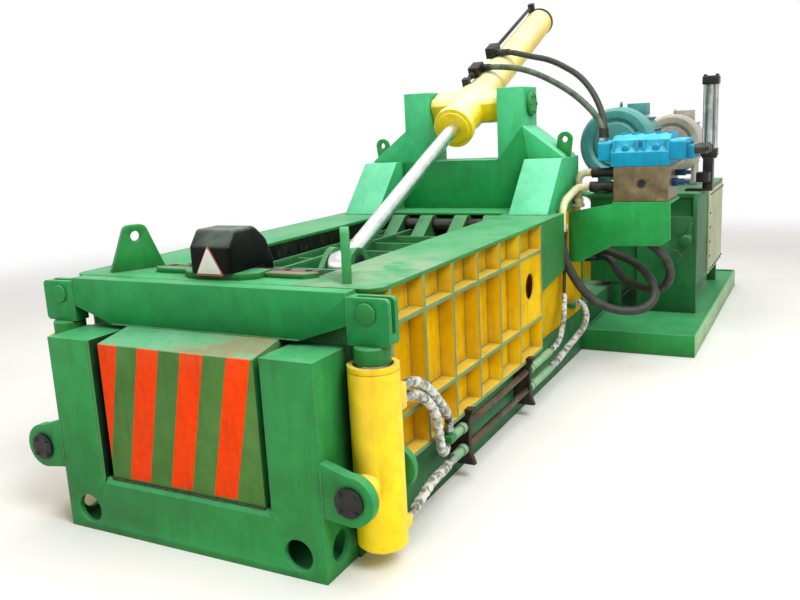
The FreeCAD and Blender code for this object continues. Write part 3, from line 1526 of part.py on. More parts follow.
CURLED_HOSE = [(740, 2955, 412), (740, 3015, 412), (754, 3072, 404), (775, 3105, 367),
               (787, 3106, 314), (790, 3066, 268), (788, 2990, 242), (784, 2880, 225),
               (777, 2745, 205), (770, 2605, 182), (766, 2480, 163), (765, 2400, 158),
               (765, 2330, 158)]
GATE_HOSE_UPPER = [(805, 350.5, 662), (805, 402, 662), (808, 458, 655), (813, 515, 627),
                   (820, 572, 582), (822, 632, 525), (817, 692, 472), (806, 745, 430),
                   (795, 785, 395), (790, 803, 358), (790, 803, 325)]
GATE_HOSE_MIDDLE = [(805, 350.5, 614), (805, 400, 614), (808, 455, 602), (812, 515, 573),
                    (815, 570, 530), (815, 618, 472), (811, 650, 410), (806, 668, 345),
                    (800, 695, 285), (788, 742, 246), (774, 795, 240), (765, 843, 262),
                    (765, 890, 262)]
GATE_HOSE_LOWER = [(805, 350.5, 132), (805, 398, 132), (808, 455, 156), (812, 515, 180),
                   (810, 580, 190), (803, 650, 186), (793, 720, 174), (778, 790, 162),
                   (765, 843, 158), (765, 890, 158)]
RAM_PIPE_FRONT = [(0, 3520, 757), (0, 3520, 900), (260, 3500, 900), (440, 3480, 690),
                  (662, 3480, 690)]
RAM_PIPE_REAR = [(0, 5700, 757), (0, 5700, 890), (200, 5560, 890), (330, 5300, 640),
                 (330, 3760, 640), (530, 3560, 640), (662, 3560, 640)]
# Blocks that hold hose ends: x, distance behind the front face and z, low and high.
HOLDERS = [(skin_outer, 748, 2780, 2814, 930, 965), (skin_outer, 758, 2915, 2955, 394, 430),
           (rail_outer, 812, 778, 828, 274, 306)]
ELBOW_PIPE_UPPER = [(826, 3110, 1260), (735, 3110, 1260), (735, 3110, 1095)]
ELBOW_PIPE_LOWER = [(826, 3060, 1172), (745, 3060, 1172), (745, 2690, 1100), (745, 2690, 930)]


def pipe_fittings():
    """Elbow pipes with sleeves, ram pipes with unions and the blocks that hold hose ends."""
    parts = []
    for z, at in ((elbow_upper_z, elbow_upper_at), (elbow_lower_z, elbow_lower_at)):
        r = sleeve_pipe_r
        length = manifold_left - elbow_x
        parts.append(turned([(0, 0), (0, r), (sleeve_nut, r), (sleeve_nut, r * 0.86),
                             (length - sleeve_nut, r * 0.86), (length - sleeve_nut, r),
                             (length, r), (length, 0)],
                            V(elbow_x, back(at), z), RIGHT))
    parts.append(tube("elbow_pipe_upper", ELBOW_PIPE_UPPER, elbow_pipe_d, 0.6))
    parts.append(tube("elbow_pipe_lower", ELBOW_PIPE_LOWER, elbow_pipe_d, 0.6))
    x, at, z = ELBOW_PIPE_UPPER[-1]
    r, length = elbow_collar_r, elbow_collar
    foot = V(x, back(at), z)
    parts.append(turned([(0, 0), (0, r), (length, r), (length, 0)], foot, UP * -1))
    parts.append(box(leg_outer, x + r, foot.y - r, foot.y + r, z - length - elbow_shelf,
                     z - length))
    for name, route in (("ram_pipe_front", RAM_PIPE_FRONT), ("ram_pipe_rear", RAM_PIPE_REAR)):
        parts.append(tube(name, route, ram_pipe_d))
        _, at, z = route[-1]
        r = ram_union_r
        start = ram_union_at
        end = ram_union_end - start
        parts.append(turned([(0, 0), (0, r), (ram_union_nut, r), (ram_union_nut, r * 0.85),
                             (end, r * 0.85), (end, 0)], V(start, back(at), z), RIGHT))
    for x0, x1, y0, y1, z0, z1 in HOLDERS:
        parts.append(box(x0, x1, back(y0), back(y1), z0, z1))
    x, at, z = GATE_HOSE_UPPER[-1]
    parts.append(turned([(0, 0), (0, 18), (19, 18), (19, 0)], V(x, back(at), z - 19), UP))
    cap_top = manifold_top + SEAT + bank_height - bank_end_drop
    for route in (LID_HOSE_TAIL, LID_HOSE_HEAD):
        x, at, top = route[-1]
        parts.append(hex_bolt(hose_nut_r, V(x, back(at), cap_top), UP, top - cap_top))
    shelf = manifold_foot - SEAT - bracket_shelf
    x, at, z = LOOP_HOSE_INNER[-1]
    parts.append(hex_bolt(38, V(x, back(at), z), UP, shelf - z))
    return parts


def hoses():
    """The hoses, each its own piece, by node name."""
    routes = {
        "hose_lid_tail": (LID_HOSE_TAIL, lid_hose_d),
        "hose_lid_head": (LID_HOSE_HEAD, lid_hose_d),
        "hose_loop_outer": (LOOP_HOSE_OUTER, loop_hose_d),
        "hose_loop_inner": (LOOP_HOSE_INNER, loop_hose_d),
        "hose_thin": (THIN_HOSE, thin_hose_d),
        "hose_curled": (CURLED_HOSE, wrapped_hose_d),
        "hose_gate_upper": (GATE_HOSE_UPPER, wrapped_hose_d),
        "hose_gate_middle": (GATE_HOSE_MIDDLE, wrapped_hose_d),
        "hose_gate_lower": (GATE_HOSE_LOWER, wrapped_hose_d),
    }
    return {name: [tube(name, points, diameter)]
            for name, (points, diameter) in routes.items()}


# ================================================================ build
def export(name, solids):
    """Write one sub-part as a STEP file."""
    shape = solids[0] if len(solids) == 1 else Part.makeCompound(solids)
    if not shape.isValid():
        print("not valid:", name)
    flat = [solid for piece in solids for solid in piece.Solids]
    faces = sum(len(solid.Faces) for solid in flat)
    print("%-20s %2d solids %4d faces" % (name, len(flat), faces))
    shape.exportStep("parts/" + name + ".step")


def build():
    """Make every node."""
    os.makedirs("parts", exist_ok=True)
    nodes = {
        "discharge_frame": discharge_frame(),
        "trunnion_ears": trunnion_ears(),
        "trunnion_caps": trunnion_caps(),
        "gate_cylinders": gate_cylinders(),
        "gate_glands": gate_glands(),
        "gate_rods": gate_rods(),
        "gate_panel": gate_panel(),
        "crossbeam": crossbeam(),
        "fork_pins": fork_pins(),
        "chamber_front": chamber_front(),
        "flange_sides": flange_sides(),
        "front_blade_bar": front_blade_bar(),
        "front_shear_blade": front_shear_blade(),
        "lock_hood_pad": lock_hood_pad(),
        "lock_hood": lock_hood(),
        "chamber_walls": chamber_walls(),
        "side_panels": side_panels(),
        "doubler_plates": doubler_plates(),
        "base_rails": base_rails(),
        "chamber_floor": chamber_floor(),
        "rear_housing": rear_housing(),
        "rear_head_plate": rear_head_plate(),
        "lifting_lugs": lifting_lugs(),
        "gantry_legs": gantry_legs(),
        "gantry_portal": gantry_portal(),
        "lid_bearing_caps": lid_bearing_caps(),
        "lid_panel": lid_panel(),
        "lid_pin": lid_pin(),
        "lid_hinge_pin": lid_hinge_pin(),
        "lid_barrel": lid_barrel(),
        "lid_gland": lid_gland(),
        "lid_pipework": lid_pipework(),
        "lid_rod": lid_rod(),
        "press_head": press_head(),
        "main_rod": main_rod(),
        "main_cylinder": main_cylinder(),
        "main_cylinder_cap": main_cylinder_cap(),
        "power_base": power_base(),
        "tank": tank(),
        "tank_cover": tank_cover(),
        "motor_large": motor(large_motor, tank_top, 90),
        "motor_small": motor(small_motor, tank_top, 60),
        "tie_rod_unit": tie_rod_unit(),
        "valve_bracket": valve_bracket(),
        "manifold": manifold(),
        "valve_bank": valve_bank(),
        "valve_solenoids": valve_solenoids(),
        "pipe_rack": pipe_rack(),
        "rack_pipes": rack_pipes(),
        "pipe_unions": pipe_unions(),
        "pipe_fittings": pipe_fittings(),
    }
    nodes.update(hoses())
    for name, solids in nodes.items():
        export(name, solids)
    print(len(nodes), "nodes")


build()
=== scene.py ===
import json
import logging
import math
import random
from collections.abc import Callable, Sequence
from dataclasses import dataclass
from enum import Enum

import bmesh
import bpy
from mathutils import Matrix, Vector


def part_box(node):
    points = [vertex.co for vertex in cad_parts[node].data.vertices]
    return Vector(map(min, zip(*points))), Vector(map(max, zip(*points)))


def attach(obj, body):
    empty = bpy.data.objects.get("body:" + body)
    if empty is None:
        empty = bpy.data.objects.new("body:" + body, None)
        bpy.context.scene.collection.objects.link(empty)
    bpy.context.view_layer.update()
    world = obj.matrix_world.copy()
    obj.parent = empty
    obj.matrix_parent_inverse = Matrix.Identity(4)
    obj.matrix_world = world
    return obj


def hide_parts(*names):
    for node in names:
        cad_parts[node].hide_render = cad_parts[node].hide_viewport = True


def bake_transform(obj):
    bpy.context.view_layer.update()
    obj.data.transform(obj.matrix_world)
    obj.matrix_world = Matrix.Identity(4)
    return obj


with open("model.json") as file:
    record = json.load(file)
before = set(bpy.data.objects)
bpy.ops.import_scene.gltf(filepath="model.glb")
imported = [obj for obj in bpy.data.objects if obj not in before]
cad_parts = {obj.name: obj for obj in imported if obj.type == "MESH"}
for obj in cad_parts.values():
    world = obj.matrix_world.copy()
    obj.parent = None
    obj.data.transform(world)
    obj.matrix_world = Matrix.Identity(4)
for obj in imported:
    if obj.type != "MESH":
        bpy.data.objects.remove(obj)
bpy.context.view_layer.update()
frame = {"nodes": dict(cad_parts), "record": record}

LOG = logging.getLogger("scrap_baler")
FRONT = -0.111          # Y of the front face of the discharge frame
FACING = 0.9            # least share of a face's normal along the axis that it faces
SIDES = (-1, 1)         # left and right, as the sign of X
UP = Vector((0, 0, 1))
BODY_OF = {node: body for body, nodes in frame["record"]["behaviour"]["bodies"].items()
           for node in nodes}

Triple = tuple[float, float, float]
Seam = Sequence[Triple]
Socket = bpy.types.NodeSocket
FaceTest = Callable[[Vector, Vector], bool]     # from a face's centre and its normal


def back(distance: float) -> float:
    """Y in metres of a plane this many millimetres behind the front face."""
    return FRONT + distance / 1000


def mirrored(*seams: Seam) -> list[Seam]:
    """Seams on the left side, and then the same on the right.

    Args:
        seams: corners on the right: X in metres, millimetres behind the front, Z in metres.

    Returns:
        The corners in the row frame, in metres.
    """
    return [[(side * x, back(y), z) for x, y, z in seam] for side in SIDES for seam in seams]


def linear(colour: str) -> tuple[float, float, float, float]:
    """Turn an sRGB hex colour into the linear colour a shader takes.

    Args:
        colour: six hex digits with a leading '#'.

    Returns:
        Linear red, green, blue and an alpha of 1.
    """
    parts = [int(colour[i:i + 2], 16) / 255 for i in (1, 3, 5)]
    red, green, blue = (p / 12.92 if p <= 0.04045 else ((p + 0.055) / 1.055) ** 2.4 for p in parts)
    return red, green, blue, 1.0


# ---------------------------------------------------------------- node trees
def wire(node: bpy.types.Node, inputs: dict) -> None:
    """Set a node's inputs, or link them.

    Args:
        node: the node.
        inputs: input name or number, with a value or the socket that feeds it.
    """
    for key, value in inputs.items():
        if isinstance(value, Socket):
            node.id_data.links.new(value, node.inputs[key])
        else:
            node.inputs[key].default_value = value


def add_node(tree: bpy.types.NodeTree, kind: str, settings: dict | None = None,
             inputs: dict | None = None) -> bpy.types.Node:
    """Add one node with its settings and its links.

    Args:
        tree: the node tree that takes the node.
        kind: the node's type name.
        settings: attributes of the node and their values.
        inputs: input name or number, with a value or the socket that feeds it.

    Returns:
        The new node.
    """
    node = tree.nodes.new(kind)
    for name, value in (settings or {}).items():
        setattr(node, name, value)
    wire(node, inputs or {})
    return node


def calc(tree: bpy.types.NodeTree, operation: str, first: Socket | float,
         *others: Socket | float, clamp: bool = False) -> Socket:
    """Join numbers one after another by an arithmetic operation.

    Args:
        tree: the node tree that takes the steps.
        operation: the operation, of two numbers each time.
        first: the number or socket to start from.
        others: what is joined to it, in order.
        clamp: whether the result is kept between 0 and 1.

    Returns:
        The result's socket.
    """
    for number, value in enumerate(others, 1):
        last = number == len(others)
        step = add_node(tree, "ShaderNodeMath",
                        {"operation": operation, "use_clamp": clamp and last},
                        {0: first, 1: value})
        first = step.outputs[0]
    return first


@dataclass
class Canvas:
    """A material's tree under construction, with its Object coordinates."""

    tree: bpy.types.NodeTree
    where: Socket

    def plus(self, *values: Socket | float, clamp: bool = False) -> Socket:
        """The sum of some numbers."""
        return calc(self.tree, "ADD", *values, clamp=clamp)

    def times(self, *values: Socket | float, clamp: bool = False) -> Socket:
        """The product of some numbers."""
        return calc(self.tree, "MULTIPLY", *values, clamp=clamp)

    def less(self, first: Socket | float, second: Socket | float, clamp: bool = False) -> Socket:
        """The first number less the second."""
        return calc(self.tree, "SUBTRACT", first, second, clamp=clamp)

    def ramp(self, factor: Socket, stops: Sequence[tuple[float, str | float]]) -> Socket:
        """Spread a factor over colour stops.

        Args:
            factor: the number that is spread.
            stops: position with an sRGB hex colour or a grey value.

        Returns:
            The colour socket.
        """
        node = add_node(self.tree, "ShaderNodeValToRGB", inputs={0: factor})
        band = node.color_ramp
        while len(band.elements) < len(stops):
            band.elements.new(0.5)
        for element, (position, value) in zip(band.elements, stops):
            element.position = position
            element.color = linear(value) if isinstance(value, str) else (value, value, value, 1)
        return node.outputs[0]

    def mixed(self, factor: Socket | float, first: Socket, second: Socket | str,
              blend: str = "MIX") -> Socket:
        """Mix two colours.

        Args:
            factor: share of the second colour.
            first: the colour at a factor of 0.
            second: the colour at a factor of 1, or its sRGB hex.
            blend: the way the two are mixed.

        Returns:
            The mixed colour's socket.
        """
        if isinstance(second, str):
            second = linear(second)
        node = add_node(self.tree, "ShaderNodeMix", {"data_type": "RGBA", "blend_type": blend},
                        {0: factor, 6: first, 7: second})
        return node.outputs[2]

    def noise(self, size: float, detail: float = 4.0, stretch: Triple = (1, 1, 1),
              distortion: float = 0.0) -> Socket:
        """Noise whose blotches are about this many metres across.

        Args:
            size: blotch size in metres.
            detail: number of finer layers.
            stretch: how the pattern is stretched along each axis.
            distortion: how much the pattern is stirred.

        Returns:
            The noise factor's socket.
        """
        scaled = add_node(self.tree, "ShaderNodeMapping",
                          inputs={"Vector": self.where,
                                  "Scale": tuple(1 / (size * s) for s in stretch)})
        return add_node(self.tree, "ShaderNodeTexNoise",
                        inputs={"Vector": scaled.outputs[0], "Scale": 1.0, "Detail": detail,
                                "Distortion": distortion}).outputs[0]

    def away(self, place: Triple) -> Socket:
        """The distance from a place, in metres."""
        return add_node(self.tree, "ShaderNodeVectorMath", {"operation": "DISTANCE"},
                        {0: self.where, 1: place}).outputs["Value"]

    def occlusion_shade(self, reach: float) -> Socket:
        """A painted-shade mask from ambient occlusion, where surfaces meet, within a reach in
        metres.
        """
        shade = add_node(self.tree, "ShaderNodeAmbientOcclusion", {"samples": 6},
                         {"Distance": reach})
        return self.less(1.0, shade.outputs["AO"], clamp=True)

    def worn_edges(self, radius: float, share: float) -> Socket:
        """A mask of the edges that rub, broken up by noise.

        Args:
            radius: how far the wear reaches from the edge, in metres.
            share: 0 for sound edges, 1 for edges worn all along.

        Returns:
            The mask's socket.
        """
        round_edge = add_node(self.tree, "ShaderNodeBevel", {"samples": 4}, {"Radius": radius})
        face = add_node(self.tree, "ShaderNodeNewGeometry")
        along = add_node(self.tree, "ShaderNodeVectorMath", {"operation": "DOT_PRODUCT"},
                         {0: round_edge.outputs[0], 1: face.outputs["Normal"]})
        edge = self.less(1.0, along.outputs["Value"], clamp=True)
        chips = self.noise(0.045, 6.0)
        lifted = self.plus(self.times(edge, 2.2), self.times(chips, 0.75))
        low = 1.05 - 0.5 * share
        return self.ramp(lifted, [(low, 0.0), (min(low + 0.12, 1.0), 1.0)])

    def bump(self, height: Socket, distance: float, strength: float = 0.5) -> Socket:
        """The normal that a height gives, with its depth in metres."""
        return add_node(self.tree, "ShaderNodeBump",
                        inputs={"Height": height, "Distance": distance,
                                "Strength": strength}).outputs[0]


# ---------------------------------------------------------------- finishes
@dataclass(frozen=True)
class Finish:
    """One surface finish, made into a material the first time it is asked for."""

    name: str

    def material(self) -> bpy.types.Material:
        """The finish as a material.

        Returns:
            The material, the same one each time.
        """
        found = bpy.data.materials.get(self.name)
        if found:
            return found
        made = bpy.data.materials.new(self.name)
        made.use_nodes = True
        tree = made.node_tree
        tree.nodes.clear()
        shader = add_node(tree, "ShaderNodeBsdfPrincipled")
        add_node(tree, "ShaderNodeOutputMaterial", inputs={"Surface": shader.outputs[0]})
        where = add_node(tree, "ShaderNodeTexCoord").outputs["Object"]
        wire(shader, self.paint(Canvas(tree, where)))
        return made

    def paint(self, on: Canvas) -> dict:
        """Draw the finish.

        Args:
            on: the material under construction.

        Returns:
            The shader's inputs, each with its value or the socket that feeds it.
        """
        raise NotImplementedError


@dataclass(frozen=True)
class Rub:
    """A spot where scrap has rubbed the paint thin."""

    place: Triple
    reach: float
    colour: str


@dataclass(frozen=True)
class ShopEnamel(Finish):
    """Alkyd enamel sprayed on welded plate: semi-gloss; upward faces lighter from sun fade and
    dust with a painted sky highlight; painted shade where surfaces meet.
    """

    colour: str = "#258d40"
    shade: str = "#1f7634"
    dust_and_highlight_colour: str = "#56b97c"          # colour of upward faces: sun fade and dust, and a painted highlight of the sky's reflection
    bare: str = "#8f8a6d"           # what shows where the paint has rubbed off
    # colour of the run-off streaks, and of the painted shade where surfaces meet
    grime_and_shade: str = "#27331f"
    # how strongly upward faces take their lighter colour of sun fade, dust and painted highlight
    dust_and_highlight_strength: float = 0.75
    wear: float = 0.62
    # strength of the run-off streaks and of the painted shade where surfaces meet
    dirt_and_shade: float = 0.55
    rough: float = 0.42
    sheen: float = 0.3              # strength of the paint's own reflections
    edge: float = 0.007
    clean: float = 0.30             # noise below this leaves a clean patch in the dust and painted highlight
    least: float = 0.62             # the share of the dust and painted highlight in its clean patches
    rubbed: Rub | None = None

    def base(self, on: Canvas) -> Socket:
        """The sound paint, with its slow and quick changes of tone.

        Args:
            on: the material under construction.

        Returns:
            The colour's socket.
        """
        tone = on.ramp(on.noise(0.55, 3.0), [(0.38, self.shade), (0.60, self.colour)])
        lift = on.ramp(on.noise(0.07, 6.0, distortion=0.6), [(0.30, 0.86), (0.70, 1.10)])
        return on.mixed(0.8, tone, lift, "MULTIPLY")

    def paint(self, on: Canvas) -> dict:
        """Layer top fade and dust with a painted sky highlight, run-off streaks, painted shade
        where surfaces meet and chipped edges over the paint.

        Args:
            on: the material under construction.

        Returns:
            The shader's inputs, each with its value or the socket that feeds it.
        """
        colour = self.base(on)
        normal = add_node(on.tree, "ShaderNodeTexCoord").outputs["Normal"]
        up = add_node(on.tree, "ShaderNodeSeparateXYZ", inputs={0: normal}).outputs["Z"]
        patch = on.noise(0.16, 5.0, distortion=0.4)
        # upward faces lighten: sun fade and dust, and a painted highlight of the sky's reflection
        dust_and_highlight = on.times(on.times(up, self.dust_and_highlight_strength, clamp=True),
                        on.ramp(patch, [(self.clean, self.least), (0.68, 1.0)]))
        colour = on.mixed(dust_and_highlight, colour, self.dust_and_highlight_colour)
        streak = on.ramp(on.noise(0.035, 4.0, stretch=(1, 1, 9)), [(0.52, 0.0), (0.80, 1.0)])
        colour = on.mixed(on.times(streak, 0.45 * self.dirt_and_shade), colour, self.grime_and_shade)
        # painted shade where surfaces meet, from ambient occlusion broken up by noise
        corner_shade = on.times(on.occlusion_shade(0.07), on.ramp(on.noise(0.09, 5.0), [(0.25, 0.2), (0.7, 1.0)]))
        colour = on.mixed(on.times(corner_shade, 1.5 * self.dirt_and_shade, clamp=True), colour, self.grime_and_shade)
        if self.rubbed:
            share = calc(on.tree, "DIVIDE", on.away(self.rubbed.place), self.rubbed.reach)
            broken = on.times(on.plus(on.less(1.0, share, clamp=True), 0.15),
                              on.ramp(patch, [(0.34, 0.0), (0.62, 1.6)]), clamp=True)
            colour = on.mixed(on.times(broken, up, clamp=True), colour, self.rubbed.colour)
        chip = on.worn_edges(self.edge, self.wear)
        under = on.ramp(on.noise(0.02, 4.0), [(0.42, self.bare), (0.62, "#7b5636")])
        height = on.plus(on.times(on.noise(0.006, 2.0), 0.12),
                         on.less(on.noise(0.22, 2.0), on.times(chip, 0.35)))
        return {"Base Color": on.mixed(chip, colour, under),
                "Roughness": on.plus(self.rough, on.times(patch, 0.16), on.times(chip, 0.18),
                                     clamp=True),
                "Normal": on.bump(height, 0.004, 0.35),
                "IOR": 1.45, "Specular IOR Level": self.sheen}


@dataclass(frozen=True)
class GateStripes(ShopEnamel):
    """Hand-painted orange warning stripes over the green enamel of the gate."""

    stripe: str = "#ff4800"
    width: float = 0.109
    pitch: float = 0.2178
    start: float = -0.39            # left edge of the first stripe at the top line
    top: float = 0.82
    lean: float = 0.2107            # how far a stripe moves to the left for each metre down
    foot: float = 0.262
    last: int = 3                   # number of the last stripe, from 0
    face: float = 34.0              # the stripes end this far behind the front face

    def base(self, on: Canvas) -> Socket:
        """Green paint with the leaning stripes brushed over its front face.

        Args:
            on: the material under construction.

        Returns:
            The colour's socket.
        """
        green = super().base(on)
        axes = add_node(on.tree, "ShaderNodeSeparateXYZ", inputs={0: on.where}).outputs
        brush = on.noise(0.03, 5.0)
        across = on.plus(on.less(axes["X"], self.start),
                         on.times(on.less(self.top, axes["Z"]), self.lean),
                         on.times(on.less(brush, 0.5), 0.006))
        phase = calc(on.tree, "FLOORED_MODULO", across, self.pitch)
        end = self.last * self.pitch + self.width + 0.004
        mask = on.times(calc(on.tree, "LESS_THAN", phase, self.width),
                        calc(on.tree, "LESS_THAN", across, end),
                        calc(on.tree, "GREATER_THAN", axes["Z"], self.foot),
                        calc(on.tree, "LESS_THAN", axes["Y"], back(self.face)))
        return on.mixed(mask, green, on.ramp(brush, [(0.3, "#f03e00"), (0.7, self.stripe)]))


@dataclass(frozen=True)
class BareSteel(Finish):
    """Hot-rolled or machined steel without paint: dull metal with rust and scratches."""

    colour: str = "#8b8c86"
    dark: str = "#5b5a54"
    rust: str = "#7d4a28"
    rusting: float = 0.45
    rough: float = 0.42

    def paint(self, on: Canvas) -> dict:
        """Mix metal and rust by noise, with fine scratches along the part.

        Args:
            on: the material under construction.

        Returns:
            The shader's inputs, each with its value or the socket that feeds it.
        """
        metal = on.ramp(on.noise(0.12, 6.0), [(0.3, self.dark), (0.68, self.colour)])
        low = 0.72 - 0.32 * self.rusting
        mask = on.ramp(on.noise(0.055, 8.0, distortion=0.8), [(low, 0.0), (low + 0.14, 1.0)])
        fine = on.noise(0.012, 4.0)
        scale = on.ramp(fine, [(0.3, "#4e2f1c"), (0.7, self.rust)])
        scratch = on.noise(0.004, 3.0, stretch=(1, 30, 1))
        return {"Base Color": on.mixed(mask, metal, scale),
                "Metallic": on.less(1.0, mask),
                "Roughness": on.plus(self.rough, on.times(scratch, 0.14), on.times(mask, 0.3),
                                     clamp=True),
                "Normal": on.bump(on.plus(on.times(scratch, 0.25), fine), 0.0012, 0.4)}


@dataclass(frozen=True)
class HardChrome(Finish):
    """Ground and chromed piston rod: mirror-like metal with a thin film of oil."""

    colour: str = "#eceeed"
    rough: float = 0.26

    def paint(self, on: Canvas) -> dict:
        """Bright metal whose gloss changes with the oil film.

        Args:
            on: the material under construction.

        Returns:
            The shader's inputs, each with its value or the socket that feeds it.
        """
        film = on.noise(0.09, 5.0)
        return {"Base Color": on.ramp(film, [(0.35, "#d3d7d6"), (0.65, self.colour)]),
                "Metallic": 1.0,
                "Roughness": on.plus(self.rough - 0.04, on.times(film, 0.12)),
                "Normal": on.bump(on.noise(0.003, 2.0), 0.0002, 0.2)}


@dataclass(frozen=True)
class Rubber(Finish):
    """Black rubber hose cover with the light print of its cloth mould and dried oil."""

    colour: str = "#1a1d18"
    dusty: str = "#383e31"
    rough: float = 0.52

    def paint(self, on: Canvas) -> dict:
        """Dark cover, dusty in patches, with a fine woven print.

        Args:
            on: the material under construction.

        Returns:
            The shader's inputs, each with its value or the socket that feeds it.
        """
        patch = on.noise(0.05, 5.0, distortion=0.5)
        # The print of the mould cloth is about 1 mm; it is drawn at 4 mm so that it shows.
        weave = add_node(on.tree, "ShaderNodeTexVoronoi",
                         inputs={"Vector": on.where, "Scale": 250.0})
        return {"Base Color": on.ramp(patch, [(0.35, self.colour), (0.75, self.dusty)]),
                "Roughness": on.plus(self.rough - 0.1, on.times(patch, 0.3)),
                "Normal": on.bump(weave.outputs["Distance"], 0.0008)}


@dataclass(frozen=True)
class ClothWrap(Finish):
    """Woven glass-cloth tape round the hoses: matt, off-white, with painted shade where its turns
    step over each other.
    """

    colour: str = "#cfd0c4"
    dirty: str = "#6d7266"

    def paint(self, on: Canvas) -> dict:
        """Off-white weave with oily stains, painted shade in the folds and a raised thread.

        Args:
            on: the material under construction.

        Returns:
            The shader's inputs, each with its value or the socket that feeds it.
        """
        colour = on.ramp(on.noise(0.035, 6.0, distortion=0.7),
                         [(0.40, self.dirty), (0.56, self.colour), (0.8, "#eeede4")])
        fold_shade = on.times(on.occlusion_shade(0.012), 0.8, clamp=True)
        # Threads are about 1 mm apart; they are drawn wider apart so that they show.
        thread = add_node(on.tree, "ShaderNodeTexWave", {"wave_type": "BANDS"},
                          {"Vector": on.where, "Scale": 130.0, "Distortion": 1.5})
        return {"Base Color": on.mixed(fold_shade, colour, "#4c4d44"),
                "Roughness": 0.9, "Sheen Weight": 0.25,
                "Normal": on.bump(thread.outputs[1], 0.0012, 0.6)}


@dataclass(frozen=True)
class Plain(Finish):
    """A plain moulded or machined surface with slight changes of tone and gloss."""

    colour: str = "#808080"
    dark: str = "#606060"
    metal: float = 0.0
    rough: float = 0.45
    grain: float = 0.01
    depth: float = 0.0006

    def paint(self, on: Canvas) -> dict:
        """Two tones, uneven gloss and a fine grain, with painted shade where surfaces meet.

        Args:
            on: the material under construction.

        Returns:
            The shader's inputs, each with its value or the socket that feeds it.
        """
        tone = on.noise(0.08, 5.0, distortion=0.4)
        colour = on.ramp(tone, [(0.32, self.dark), (0.66, self.colour)])
        # painted shade where surfaces meet, from ambient occlusion
        return {"Base Color": on.mixed(on.times(on.occlusion_shade(0.03), 0.6), colour, "#1c1a16"),
                "Metallic": self.metal,
                "Roughness": on.plus(self.rough - 0.08, on.times(tone, 0.2)),
                "Normal": on.bump(on.noise(self.grain, 3.0), self.depth)}


GREEN = ShopEnamel("alkyd_enamel_green")
# its pale mint top colour is a painted sky highlight on the legs' slopes
LEG_GREEN = ShopEnamel("alkyd_enamel_green_gantry", colour="#38b571", shade="#2ba05e",
                       dust_and_highlight_colour="#90efc6", dust_and_highlight_strength=0.9, dirt_and_shade=0.35)
# a darker green for the crossbeam; on the portal's front faces it is painted shade
BEAM_GREEN = ShopEnamel("alkyd_enamel_green_beam", colour="#179549", shade="#128140", wear=0.75,
                        dirt_and_shade=0.45)
GATE_TOP = ShopEnamel("alkyd_enamel_green_gate", dust_and_highlight_colour="#7bd2a3", dust_and_highlight_strength=0.85,
                      rubbed=Rub((0.22, back(60), 0.85), 0.3, "#8c8a66"))
# darker green that stands in for the shade falling on the doubler plates
DOUBLER_GREEN = ShopEnamel("alkyd_enamel_green_doubler", colour="#2a7836", shade="#22692d",
                           dirt_and_shade=0.8)
BRACKET_GREEN = ShopEnamel("alkyd_enamel_green_bracket", colour="#22a04d", shade="#1b8f43")
# a darker green; on the tank and on the platform's faces away from the lamps it stands in for
# shade
DEEP_GREEN = ShopEnamel("alkyd_enamel_dark_green", colour="#22703a", shade="#1a5a2d",
                        dust_and_highlight_colour="#6aab78", dirt_and_shade=0.8)
# near-black green for the gate's jambs and sill: painted shade of the gap round the gate
GAP_SHADE = ShopEnamel("greased_enamel", colour="#1a3a1e", shade="#0f2112", dust_and_highlight_colour="#274a2b",
                     grime_and_shade="#0a0e08", wear=0.3, dirt_and_shade=1.0, rough=0.34)
AMBER = ShopEnamel("alkyd_enamel_amber", colour="#e3b800", shade="#d2a000", dust_and_highlight_colour="#e0c85a",
                   bare="#8f8c4a", grime_and_shade="#5d4a08", dust_and_highlight_strength=0.8, wear=0.75, dirt_and_shade=0.6, rough=0.55,
                   sheen=0.08, edge=0.009)
# darker amber: painted shade that the bracket and hoses cast on the housing
SHADED_HOUSING_AMBER = ShopEnamel("alkyd_enamel_amber_housing", colour="#b08700", shade="#9c7200",
                           dust_and_highlight_colour="#e0c85a", bare="#8f8c4a", grime_and_shade="#5d4a08", wear=0.6, dirt_and_shade=0.8,
                           rough=0.55, sheen=0.08)
VIVID = ShopEnamel("alkyd_enamel_yellow", colour="#fbd90f", shade="#f2c808", dust_and_highlight_colour="#fff39a",
                   bare="#a89a58", grime_and_shade="#6a5a17", dust_and_highlight_strength=0.5, wear=0.3, dirt_and_shade=0.4, rough=0.33)
# its near-white top colour is a painted highlight on the glossy barrel
BARREL_YELLOW = ShopEnamel("gloss_enamel_yellow", colour="#ffe01c", shade="#f6cd0c",
                           dust_and_highlight_colour="#fffbc4", bare="#a89a58", grime_and_shade="#6a5a17", dust_and_highlight_strength=1.5, wear=0.3,
                           dirt_and_shade=0.3, rough=0.28, sheen=0.5)
STRIPES = GateStripes("painted_warning_stripes", colour="#588642", shade="#4b7838",
                      dust_and_highlight_colour="#7abd88", dust_and_highlight_strength=0.85, wear=0.55, sheen=0.1, rough=0.5,
                      rubbed=Rub((0.15, back(50), 0.84), 0.42, "#93a27c"))
